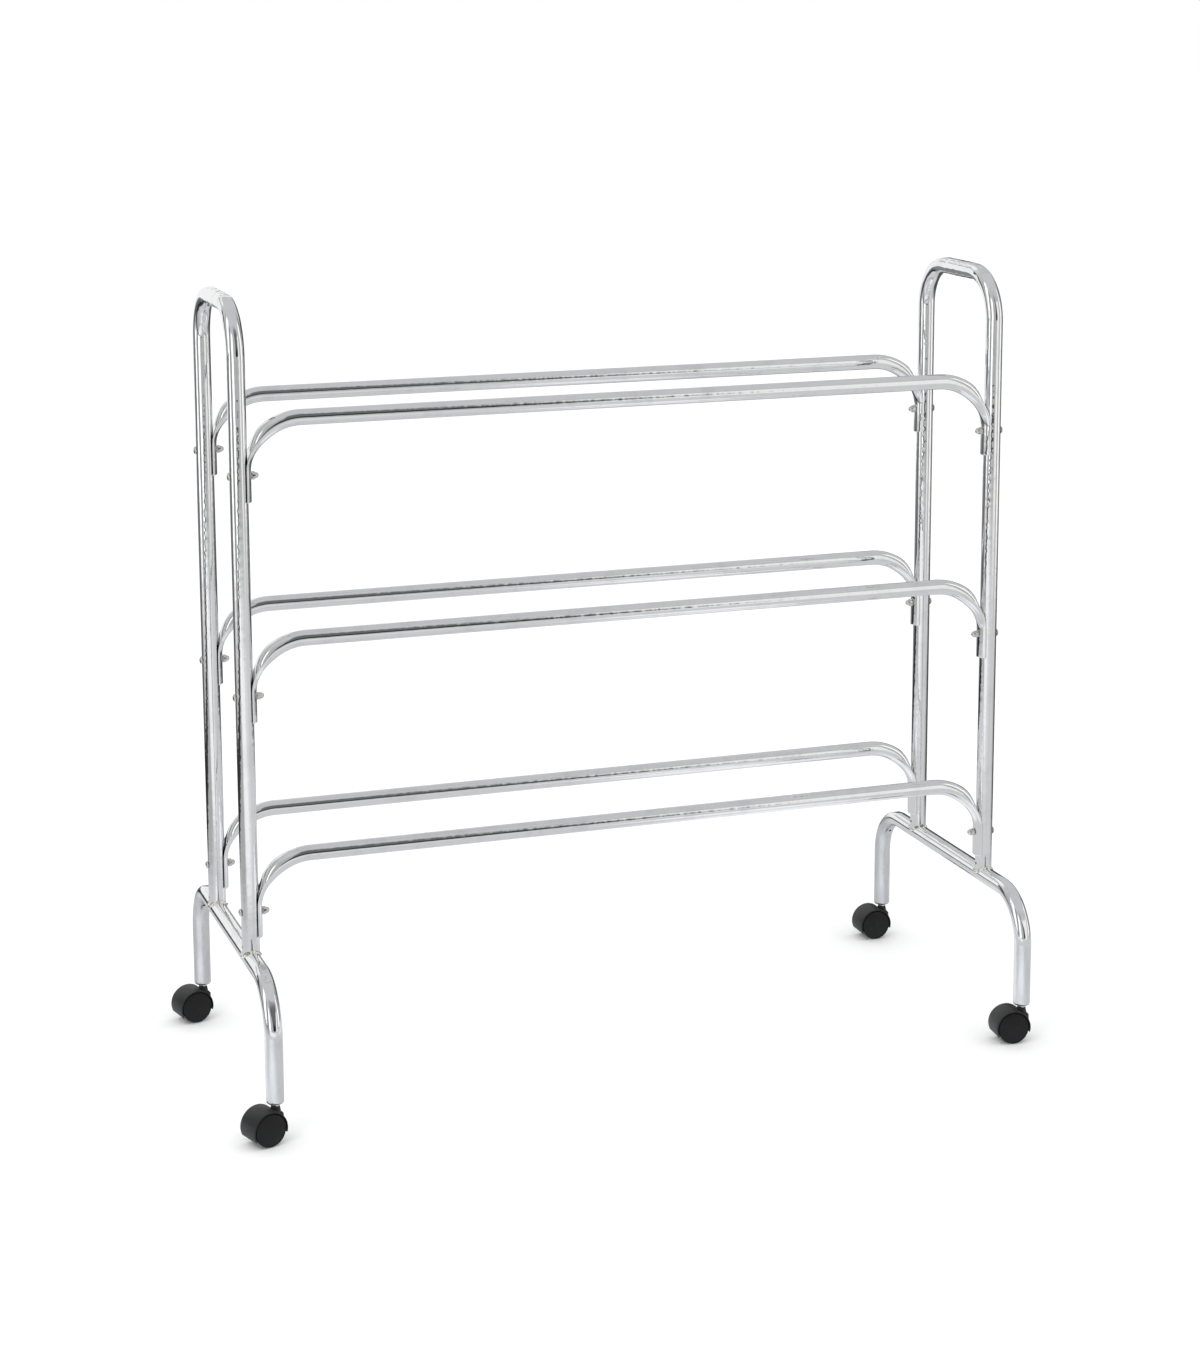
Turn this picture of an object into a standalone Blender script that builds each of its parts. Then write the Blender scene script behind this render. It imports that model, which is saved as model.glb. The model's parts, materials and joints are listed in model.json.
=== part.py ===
"""A three-level ball storage rack on four swivelling twin-wheel casters.

Two welded end frames carry six rails. Each end frame is an upside-down U of steel tube, the hoop, whose two
uprights stand on a foot tube that bends down into two legs. Each rail is one tube, bent down at both ends and
crushed there into a crescent that hugs the upright, and a bolt with a cap nut goes through both.

Metres, +Z up. +X runs along the rails, -Y is the front. The origin is on the floor, in the middle of the
rack's outer box.
"""

import math

import bmesh
import bpy
from mathutils import Matrix, Vector

# Clearances
SEAT_GAP = 0.0003  # between two pieces that touch on the real rack
RUNNING_GAP = 0.0006  # between two pieces that turn on each other

# End frames
FRAME_PITCH = 1.125  # between the middle planes of the two end frames
FRAME_TUBE_D = 0.025
FRAME_TUBE_WALL = 0.0015
UPRIGHT_PITCH = 0.230  # front upright to rear upright
HOOP_BEND_R = 0.068
HOOP_OVER_TOP_BOLT = 0.228
LEG_PITCH = 0.496  # front leg to rear leg
FOOT_BEND_R = 0.070
FOOT_OVER_LEG_END = 0.159
FIRST_BOLT_OVER_FOOT = 0.067
LEVEL_PITCH = 0.306
LEVEL_NAMES = ("bottom", "middle", "top")

# Vent holes that the plating drains through
VENT_D = 0.004
FOOT_VENT_UNDER_FOOT = 0.029  # from the foot tube's middle line down to the vent in the rear bend
HOOP_VENT_OVER_FOOT_TUBE = 0.005

# Rails
RAIL_TUBE_D = 0.022
RAIL_TUBE_WALL = 0.0012
RAIL_BEND_RUN = 0.075  # along the level run. The bend's drop follows from where the nut sits.
RAIL_OVER_BOLT = 0.076
NUT_LAND = 0.002  # the straight crescent that shows round the nut
RAIL_END_BELOW_BOLT = 0.036
CRUSHED_T = 0.004  # both walls of the crushed tube and the slit left between them
CRUSH_STARTS = math.radians(35.0)  # round the bend
CRESCENT_EDGE = 0.3  # lower is a squarer edge on the crescent
CRESCENT_GAP = 0.0005  # between the crescent and the upright

# Bolts and cap nuts
BOLT_D = 0.0058
BOLT_HOLE_D = 0.0066
BOLT_HEAD_D = 0.011
BOLT_HEAD_H = 0.0032
NUT_ACROSS_FLATS = 0.010
NUT_HEX_H = 0.0048
NUT_DOME_D = 0.0088
NUT_DOME_H = 0.0052
NUT_BORE_DEPTH = 0.0078
BOLT_END_GAP = 0.0006  # from the bolt's end to the bottom of the nut's bore

# Casters
WHEEL_D = 0.048
WHEEL_W = 0.0132
WHEEL_EDGE = 0.0012
WHEEL_RIM_T = 0.0035
WHEEL_FACE_T = 0.003
WHEEL_HUB_D = 0.012
AXLE_D = 0.006
AXLE_IN_WHEEL = 0.0095
HOOD_CORE_W = 0.012
HOOD_WALL = 0.0018
HOOD_FRONT_DROP = math.radians(15.0)  # how far the hood reaches below the axle on the stem's side
HOOD_BACK_DROP = math.radians(27.0)
HUB_R = 0.010
HUB_FROM = math.radians(230.0)
HUB_TO = math.radians(310.0)
TRAIL = 0.018  # from the stem's axis back to the axle
BOSS_TOP_OVER_AXLE = 0.0258
BOSS_TOP_D = 0.0125
BOSS_BASE_D = 0.0155
STEM_D = 0.008
STEM_IN_BOSS = 0.022
STEM_COLLAR_D = 0.0118
STEM_COLLAR_T = 0.002
STEM_NECK_H = 0.0021
STEM_PIN_D = 0.011
STEM_PIN_H = 0.034
SOCKET_FLANGE_T = 0.0015
SOCKET_FLANGE_INSET = 0.0005
SOCKET_H = 0.038
# How far each caster is turned from trailing straight towards -X, in degrees.
CASTERS = {
    "front_left": (-1, -1, 18.0),
    "rear_left": (-1, 1, 13.0),
    "front_right": (1, -1, -6.0),
    "rear_right": (1, 1, 0.0),
}

# Smoothness
FRAME_SIDES = 16
RAIL_SIDES = 12
BEND_STEPS = 5
HOLE_SIDES = 8
FASTENER_SIDES = 8
DOME_STEPS = 3
WHEEL_SIDES = 16
HOOD_STEPS = 12
HUB_STEPS = 4
STEM_SIDES = 10
SOCKET_SIDES = 12
CUT_OVERRUN = 0.002
SHARP_ANGLE = math.radians(35.0)
MERGE_DISTANCE = 0.00001

# What follows from the sizes above, from the floor up
TUBE_R = FRAME_TUBE_D / 2
AXLE_Z = WHEEL_D / 2 * math.cos(math.pi / WHEEL_SIDES)
BOSS_TOP_Z = AXLE_Z + BOSS_TOP_OVER_AXLE
COLLAR_Z = BOSS_TOP_Z + SEAT_GAP
SOCKET_Z = COLLAR_Z + STEM_COLLAR_T + STEM_NECK_H
LEG_END_Z = SOCKET_Z + SOCKET_FLANGE_T + SEAT_GAP
FOOT_Z = LEG_END_Z + FOOT_OVER_LEG_END
FIRST_BOLT_Z = FOOT_Z + FIRST_BOLT_OVER_FOOT
BOLT_ZS = [FIRST_BOLT_Z + level * LEVEL_PITCH for level in range(len(LEVEL_NAMES))]
HOOP_TOP_Z = BOLT_ZS[-1] + HOOP_OVER_TOP_BOLT
WHEEL_WELL_R = WHEEL_D / 2 + RUNNING_GAP
HOOD_R = WHEEL_WELL_R + HOOD_WALL
HOOD_W = HOOD_CORE_W + 2 * (RUNNING_GAP + WHEEL_W)
SEAT_R = TUBE_R + CRESCENT_GAP
CRESCENT_MID_R = SEAT_R + CRUSHED_T / 2
CRESCENT_BACK_R = SEAT_R + CRUSHED_T
NUT_SEAT_R = CRESCENT_BACK_R + SEAT_GAP
NUT_CORNER_R = NUT_ACROSS_FLATS / math.sqrt(3)
RAIL_BEND_DROP = RAIL_OVER_BOLT - NUT_CORNER_R - NUT_LAND
HEAD_SEAT_R = TUBE_R + SEAT_GAP
BOLT_LENGTH = HEAD_SEAT_R + NUT_SEAT_R + NUT_BORE_DEPTH - BOLT_END_GAP


def reach(angle, side):
    """How far a caster turned by this angle reaches from its stem towards side, a direction along X or Y."""
    turn = Matrix.Rotation(angle, 3, "Z")
    trail = turn @ Vector((-TRAIL, 0.0, 0.0))
    axle = turn @ Vector((0.0, 1.0, 0.0))
    along = abs(axle.dot(side))
    return trail.dot(side) + HOOD_R * math.sqrt(1 - along**2) + HOOD_W / 2 * along


def outer_box_middle():
    """The middle of the rack's outer box, seen from above, when its frames are centred on X and Y."""
    middle = []
    for axis, half_pitch in ((Vector((1, 0, 0)), FRAME_PITCH / 2), (Vector((0, 1, 0)), LEG_PITCH / 2)):
        ends = []
        for sign in (-1, 1):
            frame_end = TUBE_R + (SEAT_GAP + BOLT_HEAD_H if axis.x else 0.0)
            reaches = [frame_end]
            for side_x, side_y, angle in CASTERS.values():
                if (side_x if axis.x else side_y) == sign:
                    reaches.append(reach(math.radians(angle), sign * axis))
            ends.append(sign * (half_pitch + max(reaches)))
        middle.append(sum(ends) / 2)
    return middle


MIDDLE_X, MIDDLE_Y = outer_box_middle()


def frame_x(side):
    return side * FRAME_PITCH / 2 - MIDDLE_X


def upright_y(row):
    return row * UPRIGHT_PITCH / 2 - MIDDLE_Y


def leg_y(row):
    return row * LEG_PITCH / 2 - MIDDLE_Y


def clear_scene():
    for scene_object in list(bpy.data.objects):
        bpy.data.objects.remove(scene_object, do_unlink=True)


def new_collection(name):
    collection = bpy.data.collections.new(name)
    bpy.context.scene.collection.children.link(collection)
    return collection


def new_material(name, colour, roughness, metallic):
    material = bpy.data.materials.new(name)
    material.use_nodes = True
    shader = material.node_tree.nodes["Principled BSDF"]
    shader.inputs["Base Color"].default_value = (*colour, 1.0)
    shader.inputs["Roughness"].default_value = roughness
    shader.inputs["Metallic"].default_value = metallic
    material.diffuse_color = (*colour, 1.0)
    return material


clear_scene()
RACK = new_collection("ball_storage_rack")
CUTTERS = new_collection("cutters")
CHROME = new_material("chromed_tube", (0.79, 0.80, 0.81), 0.10, 1.0)
RAIL_CHROME = new_material("chromed_rail", (0.77, 0.78, 0.78), 0.14, 1.0)
ZINC = new_material("zinc_bolt", (0.62, 0.61, 0.57), 0.32, 1.0)
NUT_STEEL = new_material("plated_cap_nut", (0.66, 0.65, 0.61), 0.26, 1.0)
NYLON = new_material("black_nylon_hood", (0.020, 0.020, 0.022), 0.42, 0.0)
WHEEL_NYLON = new_material("black_nylon_wheel", (0.016, 0.016, 0.018), 0.50, 0.0)
STEEL = new_material("bright_steel", (0.55, 0.55, 0.56), 0.25, 1.0)
AXLE_STEEL = new_material("dark_steel_axle", (0.30, 0.30, 0.31), 0.35, 1.0)
SOCKET_GREY = new_material("pressed_steel_socket", (0.45, 0.45, 0.45), 0.40, 1.0)


def add_object(name, mesh, collection, material=None):
    new_object = bpy.data.objects.new(name, mesh)
    collection.objects.link(new_object)
    if material is not None and not mesh.materials:
        mesh.materials.append(material)
    return new_object


def shade_round(mesh):
    mesh.shade_smooth()
    mesh.set_sharp_from_angle(angle=SHARP_ANGLE)


def hide_helper(helper):
    helper.hide_render = True
    helper.display_type = "WIRE"


def evaluated_mesh(source, name):
    """The source's mesh as its modifiers leave it, in world space, with loose caps welded on."""
    bpy.context.view_layer.update()
    graph = bpy.context.evaluated_depsgraph_get()
    mesh = bpy.data.meshes.new_from_object(source.evaluated_get(graph))
    mesh.name = name
    mesh.transform(source.matrix_world)
    shape = bmesh.new()
    shape.from_mesh(mesh)
    bmesh.ops.remove_doubles(shape, verts=shape.verts, dist=MERGE_DISTANCE)
    shape.to_mesh(mesh)
    shape.free()
    return mesh


def combine(target, other, operation):
    modifier = target.modifiers.new(f"{operation.lower()}_{other.name}", "BOOLEAN")
    modifier.operation = operation
    modifier.object = other
    modifier.solver = "EXACT"


def cylinder(name, radius, length, axis, centre, sides, end_radius=None):
    """A closed helper cylinder or cone that runs along axis, with its middle at centre."""
    half_side = Matrix.Rotation(math.pi / sides, 4, "Z")
    shape = bmesh.new()
    bmesh.ops.create_cone(
        shape,
        cap_ends=True,
        segments=sides,
        radius1=radius,
        radius2=radius if end_radius is None else end_radius,
        depth=length,
        matrix=half_side,
    )
    mesh = bpy.data.meshes.new(name)
    shape.to_mesh(mesh)
    shape.free()
    helper = add_object(name, mesh, CUTTERS)
    helper.rotation_mode = "QUATERNION"
    helper.rotation_quaternion = Vector((0, 0, 1)).rotation_difference(axis)
    helper.location = centre
    hide_helper(helper)
    return helper


def turned_mesh(name, profile, sides):
    """A turned shape about Z. The profile is (radius, height) points down the outer side, top to bottom."""
    mesh = bpy.data.meshes.new(name)
    points = [(radius, 0.0, height) for radius, height in profile]
    edges = [(index, index + 1) for index in range(len(points) - 1)]
    mesh.from_pydata(points, edges, [])
    blank = add_object(name, mesh, CUTTERS)
    screw = blank.modifiers.new("turn", "SCREW")
    screw.steps = sides
    screw.render_steps = sides
    screw.use_merge_vertices = True
    screw.merge_threshold = MERGE_DISTANCE
    turned = evaluated_mesh(blank, name)
    bpy.data.objects.remove(blank)
    shade_round(turned)
    return turned


def bent_path(corners, bend_radius):
    """Points along straight runs between corners, with a round bend of one radius at each inner corner."""
    points = [corners[0]]
    for before, corner, after in zip(corners, corners[1:], corners[2:]):
        back = (before - corner).normalized()
        ahead = (after - corner).normalized()
        half_angle = back.angle(ahead) / 2
        bend_centre = corner + (back + ahead).normalized() * bend_radius / math.sin(half_angle)
        setback = bend_radius / math.tan(half_angle)
        start = (corner + back * setback - bend_centre).normalized()
        end = (corner + ahead * setback - bend_centre).normalized()
        for step in range(BEND_STEPS + 1):
            points.append(bend_centre + start.slerp(end, step / BEND_STEPS) * bend_radius)
    points.append(corners[-1])
    return points


def frame_tube(name, corners, bend_radius):
    """A hollow tube with open ends along a bent path."""
    curve = bpy.data.curves.new(name, "CURVE")
    curve.dimensions = "3D"
    curve.bevel_depth = TUBE_R
    curve.bevel_resolution = (FRAME_SIDES - 4) // 2
    points = bent_path(corners, bend_radius)
    spline = curve.splines.new("POLY")
    spline.points.add(len(points) - 1)
    for spline_point, place in zip(spline.points, points):
        spline_point.co = (*place, 1.0)
    path = add_object(name + "_path", curve, CUTTERS)
    mesh = evaluated_mesh(path, name)
    bpy.data.objects.remove(path)
    shade_round(mesh)
    tube = add_object(name, mesh, RACK, CHROME)
    wall = tube.modifiers.new("wall", "SOLIDIFY")
    wall.thickness = FRAME_TUBE_WALL
    wall.offset = -1.0
    return tube


def build_foot(side_name, side):
    """The foot tube: a level run under the uprights that bends down into the front and rear legs."""
    x = frame_x(side)
    corners = [
        Vector((x, leg_y(-1), LEG_END_Z)),
        Vector((x, leg_y(-1), FOOT_Z)),
        Vector((x, leg_y(1), FOOT_Z)),
        Vector((x, leg_y(1), LEG_END_Z)),
    ]
    foot = frame_tube(f"{side_name}_foot_tube", corners, FOOT_BEND_R)
    inner_r = FOOT_BEND_R - TUBE_R
    climb = (FOOT_BEND_R - FOOT_VENT_UNDER_FOOT) / inner_r
    vent_y = leg_y(1) - FOOT_BEND_R + inner_r * math.sqrt(1 - climb**2)
    vent_place = Vector((x, vent_y, FOOT_Z - FOOT_VENT_UNDER_FOOT))
    vent = cylinder(f"{foot.name}_vent", VENT_D / 2, TUBE_R, Vector((0, 1, 0)), vent_place, HOLE_SIDES)
    combine(foot, vent, "DIFFERENCE")


def build_hoop(side_name, side):
    """The hoop: two uprights and the round top between them, notched below to sit on the foot tube."""
    x = frame_x(side)
    corners = [
        Vector((x, upright_y(-1), FOOT_Z)),
        Vector((x, upright_y(-1), HOOP_TOP_Z)),
        Vector((x, upright_y(1), HOOP_TOP_Z)),
        Vector((x, upright_y(1), FOOT_Z)),
    ]
    hoop = frame_tube(f"{side_name}_hoop", corners, HOOP_BEND_R)
    along_x = Vector((1, 0, 0))
    along_y = Vector((0, 1, 0))
    notch_length = UPRIGHT_PITCH + 2 * FRAME_TUBE_D
    notch_place = Vector((x, -MIDDLE_Y, FOOT_Z))
    notch_r = TUBE_R + SEAT_GAP
    notch = cylinder(f"{hoop.name}_notch", notch_r, notch_length, along_y, notch_place, 2 * HOLE_SIDES)
    combine(hoop, notch, "DIFFERENCE")
    for row, row_name in ((-1, "front"), (1, "rear")):
        vent_z = FOOT_Z + TUBE_R + HOOP_VENT_OVER_FOOT_TUBE
        vent_place = Vector((x - TUBE_R, upright_y(row), vent_z))
        vent = cylinder(f"{hoop.name}_{row_name}_vent", VENT_D / 2, TUBE_R, along_x, vent_place, HOLE_SIDES)
        combine(hoop, vent, "DIFFERENCE")
        for level_name, bolt_z in zip(LEVEL_NAMES, BOLT_ZS):
            hole_place = Vector((x, upright_y(row), bolt_z))
            hole_length = FRAME_TUBE_D + 2 * CUT_OVERRUN
            hole_name = f"{hoop.name}_{row_name}_{level_name}_hole"
            hole = cylinder(hole_name, BOLT_HOLE_D / 2, hole_length, along_x, hole_place, HOLE_SIDES)
            combine(hoop, hole, "DIFFERENCE")


def crescent_half_angle(inset):
    """Half of the angle that the crescent wraps round the upright, as the tube's own girth allows."""
    girth = math.pi * (RAIL_TUBE_D - RAIL_TUBE_WALL)
    return (girth - 2 * CRUSHED_T) / (4 * CRESCENT_MID_R) - inset / CRESCENT_MID_R


def rail_section(centre, outward_side, crush, inset):
    """One section of a rail's right half: a circle that crushes into a crescent round the upright.

    The rail lies in the plane y = 0 here, with the upright's axis at x = FRAME_PITCH / 2. outward_side points
    away from the bend's inside, crush runs from 0 to 1, and inset is 0 on the tube's outer skin and the wall
    on its inner one.
    """
    radius = RAIL_TUBE_D / 2 - inset
    half_layer = CRUSHED_T / 2 - inset
    half_angle = crescent_half_angle(inset)
    section = []
    for side in range(RAIL_SIDES):
        turn = 2 * math.pi * side / RAIL_SIDES
        level = math.cos(turn)
        layer = math.copysign(abs(level) ** CRESCENT_EDGE, level)
        wrap = half_angle * math.asin(math.sin(turn)) / (math.pi / 2)
        crescent_r = CRESCENT_MID_R - half_layer * layer
        outward = (1 - crush) * radius * level + crush * (TUBE_R - crescent_r * math.cos(wrap))
        across = (1 - crush) * radius * math.sin(turn) + crush * crescent_r * math.sin(wrap)
        place = centre + outward * outward_side
        from_axis = Vector((place.x - FRAME_PITCH / 2, across))
        if from_axis.length < SEAT_R + inset:
            from_axis = from_axis.normalized() * (SEAT_R + inset)
        section.append(Vector((from_axis.x + FRAME_PITCH / 2, from_axis.y, place.z)))
    return section


def rail_half_sections(inset):
    """The sections from the rail's middle to its right end. The level run's centre line is at z = 0."""
    leg_x = FRAME_PITCH / 2 - TUBE_R
    sections = [rail_section(Vector((0, 0, 0)), Vector((0, 0, 1)), 0.0, inset)]
    for step in range(BEND_STEPS + 1):
        angle = math.pi / 2 * step / BEND_STEPS
        share = max(0.0, (angle - CRUSH_STARTS) / (math.pi / 2 - CRUSH_STARTS))
        crush = share * share * (3 - 2 * share)
        run = leg_x - RAIL_BEND_RUN * (1 - math.sin(angle))
        drop = RAIL_BEND_DROP * (1 - math.cos(angle))
        outward_side = Vector((RAIL_BEND_DROP * math.sin(angle), 0, RAIL_BEND_RUN * math.cos(angle)))
        sections.append(rail_section(Vector((run, 0, -drop)), outward_side.normalized(), crush, inset))
    leg_end = Vector((leg_x, 0, -RAIL_OVER_BOLT - RAIL_END_BELOW_BOLT))
    sections.append(rail_section(leg_end, Vector((1, 0, 0)), 1.0, inset))
    return sections


def rail_mesh():
    """The right half of a rail, hollow, open at its middle and with its end ring closed."""
    shape = bmesh.new()
    skins = []
    for inset in (0.0, RAIL_TUBE_WALL):
        skins.append([[shape.verts.new(place) for place in ring] for ring in rail_half_sections(inset)])
    for skin in skins:
        for ring, following in zip(skin, skin[1:]):
            for side in range(RAIL_SIDES):
                after = (side + 1) % RAIL_SIDES
                shape.faces.new((ring[side], ring[after], following[after], following[side]))
    outer_end = skins[0][-1]
    inner_end = skins[1][-1]
    for side in range(RAIL_SIDES):
        after = (side + 1) % RAIL_SIDES
        shape.faces.new((outer_end[side], outer_end[after], inner_end[after], inner_end[side]))
    bmesh.ops.recalc_face_normals(shape, faces=shape.faces)
    mesh = bpy.data.meshes.new("rail")
    shape.to_mesh(mesh)
    shape.free()
    half = add_object("rail_half", mesh, CUTTERS)
    mirror = half.modifiers.new("other_half", "MIRROR")
    mirror.merge_threshold = MERGE_DISTANCE
    whole = evaluated_mesh(half, "rail")
    bpy.data.objects.remove(half)
    shape = bmesh.new()
    shape.from_mesh(whole)
    bmesh.ops.recalc_face_normals(shape, faces=shape.faces)
    shape.to_mesh(whole)
    shape.free()
    shade_round(whole)
    return whole


def build_rails():
    mesh = rail_mesh()
    hole_length = 2 * CRESCENT_BACK_R
    for row, row_name in ((-1, "front"), (1, "rear")):
        for level_name, bolt_z in zip(LEVEL_NAMES, BOLT_ZS):
            rail = add_object(f"{row_name}_{level_name}_rail", mesh, RACK, RAIL_CHROME)
            rail.location = (-MIDDLE_X, upright_y(row), bolt_z + RAIL_OVER_BOLT)
            for side, side_name in ((-1, "left"), (1, "right")):
                hole_place = Vector((frame_x(side) - side * CRESCENT_BACK_R, upright_y(row), bolt_z))
                hole_name = f"{rail.name}_{side_name}_hole"
                along_x = Vector((1, 0, 0))
                hole = cylinder(hole_name, BOLT_HOLE_D / 2, hole_length, along_x, hole_place, HOLE_SIDES)
                combine(rail, hole, "DIFFERENCE")


def dome_profile(radius, height, base):
    """Profile points down a dome that stands on z = base."""
    points = []
    for step in range(DOME_STEPS + 1):
        angle = math.pi / 2 * (1 - step / DOME_STEPS)
        points.append((radius * math.cos(angle), base + height * math.sin(angle)))
    return points


def bolt_mesh():
    """A round-headed bolt about Z, with the underside of its head at z = 0 and its shank below."""
    shank_r = BOLT_D / 2
    profile = [
        *dome_profile(BOLT_HEAD_D / 2, BOLT_HEAD_H, 0.0),
        (shank_r, 0.0),
        (shank_r, -BOLT_LENGTH),
        (0.0, -BOLT_LENGTH),
    ]
    return turned_mesh("bolt", profile, FASTENER_SIDES)


def nut_mesh():
    """A cap nut about Z, with its seat at z = 0, its dome up and a blind bore from below."""
    hexagon_place = Vector((0, 0, NUT_HEX_H / 2))
    hexagon = cylinder("nut_hexagon", NUT_CORNER_R, NUT_HEX_H, Vector((0, 0, 1)), hexagon_place, 6)
    dome_r = NUT_DOME_D / 2
    profile = [
        *dome_profile(dome_r, NUT_DOME_H, NUT_HEX_H),
        (dome_r, NUT_HEX_H / 2),
        (0.0, NUT_HEX_H / 2),
    ]
    dome = add_object("nut_dome", turned_mesh("nut_dome", profile, FASTENER_SIDES), CUTTERS)
    bore_place = Vector((0, 0, NUT_BORE_DEPTH / 2 - CUT_OVERRUN / 2))
    bore_length = NUT_BORE_DEPTH + CUT_OVERRUN
    bore = cylinder("nut_bore", BOLT_HOLE_D / 2, bore_length, Vector((0, 0, 1)), bore_place, HOLE_SIDES)
    combine(hexagon, dome, "UNION")
    combine(hexagon, bore, "DIFFERENCE")
    mesh = evaluated_mesh(hexagon, "cap_nut")
    for helper in (hexagon, dome, bore):
        bpy.data.objects.remove(helper)
    shade_round(mesh)
    return mesh


def build_fasteners():
    """Each bolt goes in from outside the end frame, and its cap nut closes it on the rail's crescent."""
    bolt = bolt_mesh()
    nut = nut_mesh()
    for side, side_name in ((-1, "left"), (1, "right")):
        facing_out = (0.0, side * math.pi / 2, 0.0)
        facing_in = (0.0, -side * math.pi / 2, 0.0)
        for row, row_name in ((-1, "front"), (1, "rear")):
            for level_name, bolt_z in zip(LEVEL_NAMES, BOLT_ZS):
                place = f"{side_name}_{row_name}_{level_name}"
                bolt_object = add_object(f"bolt_{place}", bolt, RACK, ZINC)
                bolt_object.location = (frame_x(side) + side * HEAD_SEAT_R, upright_y(row), bolt_z)
                bolt_object.rotation_euler = facing_out
                nut_object = add_object(f"cap_nut_{place}", nut, RACK, NUT_STEEL)
                nut_object.location = (frame_x(side) - side * NUT_SEAT_R, upright_y(row), bolt_z)
                nut_object.rotation_euler = facing_in


def hood_mesh():
    """A caster's hood about its stem's axis: x = 0, with the axle at x = -TRAIL and z = 0.

    It is a solid core between the wheels that widens into a shell over their treads, with a boss for the stem.
    """
    first = -HOOD_FRONT_DROP
    last = math.pi + HOOD_BACK_DROP
    outline = []
    for step in range(HOOD_STEPS + 1):
        angle = first + (last - first) * step / HOOD_STEPS
        outline.append((HOOD_R * math.cos(angle) - TRAIL, HOOD_R * math.sin(angle)))
    for step in range(HUB_STEPS + 1):
        angle = HUB_FROM + (HUB_TO - HUB_FROM) * step / HUB_STEPS
        outline.append((HUB_R * math.cos(angle) - TRAIL, HUB_R * math.sin(angle)))
    curve = bpy.data.curves.new("hood_outline", "CURVE")
    curve.dimensions = "2D"
    curve.fill_mode = "BOTH"
    curve.extrude = HOOD_W / 2
    spline = curve.splines.new("POLY")
    spline.points.add(len(outline) - 1)
    for spline_point, (x, z) in zip(spline.points, outline):
        spline_point.co = (x, z, 0.0, 1.0)
    spline.use_cyclic_u = True
    outline_object = add_object("hood_outline", curve, CUTTERS)
    block_mesh = evaluated_mesh(outline_object, "hood_block")
    bpy.data.objects.remove(outline_object)
    block_mesh.transform(Matrix.Rotation(math.pi / 2, 4, "X"))
    block = add_object("hood_block", block_mesh, CUTTERS)
    along_y = Vector((0, 1, 0))
    along_z = Vector((0, 0, 1))
    boss_h = BOSS_TOP_OVER_AXLE
    boss_place = Vector((0, 0, boss_h / 2))
    boss = cylinder("boss", BOSS_BASE_D / 2, boss_h, along_z, boss_place, STEM_SIDES, BOSS_TOP_D / 2)
    helpers = [boss]
    combine(block, boss, "UNION")
    well_w = HOOD_W / 2 - HOOD_CORE_W / 2 + CUT_OVERRUN
    for sign in (-1, 1):
        well_place = Vector((-TRAIL, sign * (HOOD_CORE_W + well_w) / 2, 0))
        well = cylinder(f"wheel_well_{sign}", WHEEL_WELL_R, well_w, along_y, well_place, 2 * HOOD_STEPS)
        helpers.append(well)
        combine(block, well, "DIFFERENCE")
    axle_bore_r = AXLE_D / 2 + SEAT_GAP
    axle_bore_w = HOOD_CORE_W + 2 * CUT_OVERRUN
    axle_bore = cylinder("axle_bore", axle_bore_r, axle_bore_w, along_y, Vector((-TRAIL, 0, 0)), HOLE_SIDES)
    stem_bore_r = STEM_D / 2 + RUNNING_GAP
    stem_bore_top = BOSS_TOP_OVER_AXLE + CUT_OVERRUN
    stem_bore_bottom = BOSS_TOP_OVER_AXLE - STEM_IN_BOSS - RUNNING_GAP
    stem_bore_place = Vector((0, 0, (stem_bore_top + stem_bore_bottom) / 2))
    stem_bore_length = stem_bore_top - stem_bore_bottom
    stem_bore = cylinder("stem_bore", stem_bore_r, stem_bore_length, along_z, stem_bore_place, STEM_SIDES)
    for bore in (axle_bore, stem_bore):
        helpers.append(bore)
        combine(block, bore, "DIFFERENCE")
    mesh = evaluated_mesh(block, "caster_hood")
    for helper in [block, *helpers]:
        bpy.data.objects.remove(helper)
    shade_round(mesh)
    return mesh


def wheel_mesh():
    """A wheel about Z: its open inner side at z = 0, its closed face at the top, a blind bore for the axle.

    A facet of the tread, and not a corner between two, faces +X.
    """
    tread_r = WHEEL_D / 2
    rim_r = tread_r - WHEEL_RIM_T
    hub_r = WHEEL_HUB_D / 2
    bore_r = AXLE_D / 2 + RUNNING_GAP
    bore_end = AXLE_IN_WHEEL + RUNNING_GAP
    cup_end = WHEEL_W - WHEEL_FACE_T
    profile = [
        (0.0, WHEEL_W),
        (tread_r - WHEEL_EDGE, WHEEL_W),
        (tread_r, WHEEL_W - WHEEL_EDGE),
        (tread_r, 0.0),
        (rim_r, 0.0),
        (rim_r, cup_end),
        (hub_r, cup_end),
        (hub_r, 0.0),
        (bore_r, 0.0),
        (bore_r, bore_end),
        (0.0, bore_end),
    ]
    mesh = turned_mesh("caster_wheel", profile, WHEEL_SIDES)
    mesh.transform(Matrix.Rotation(math.pi / WHEEL_SIDES, 4, "Z"))
    return mesh


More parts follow.
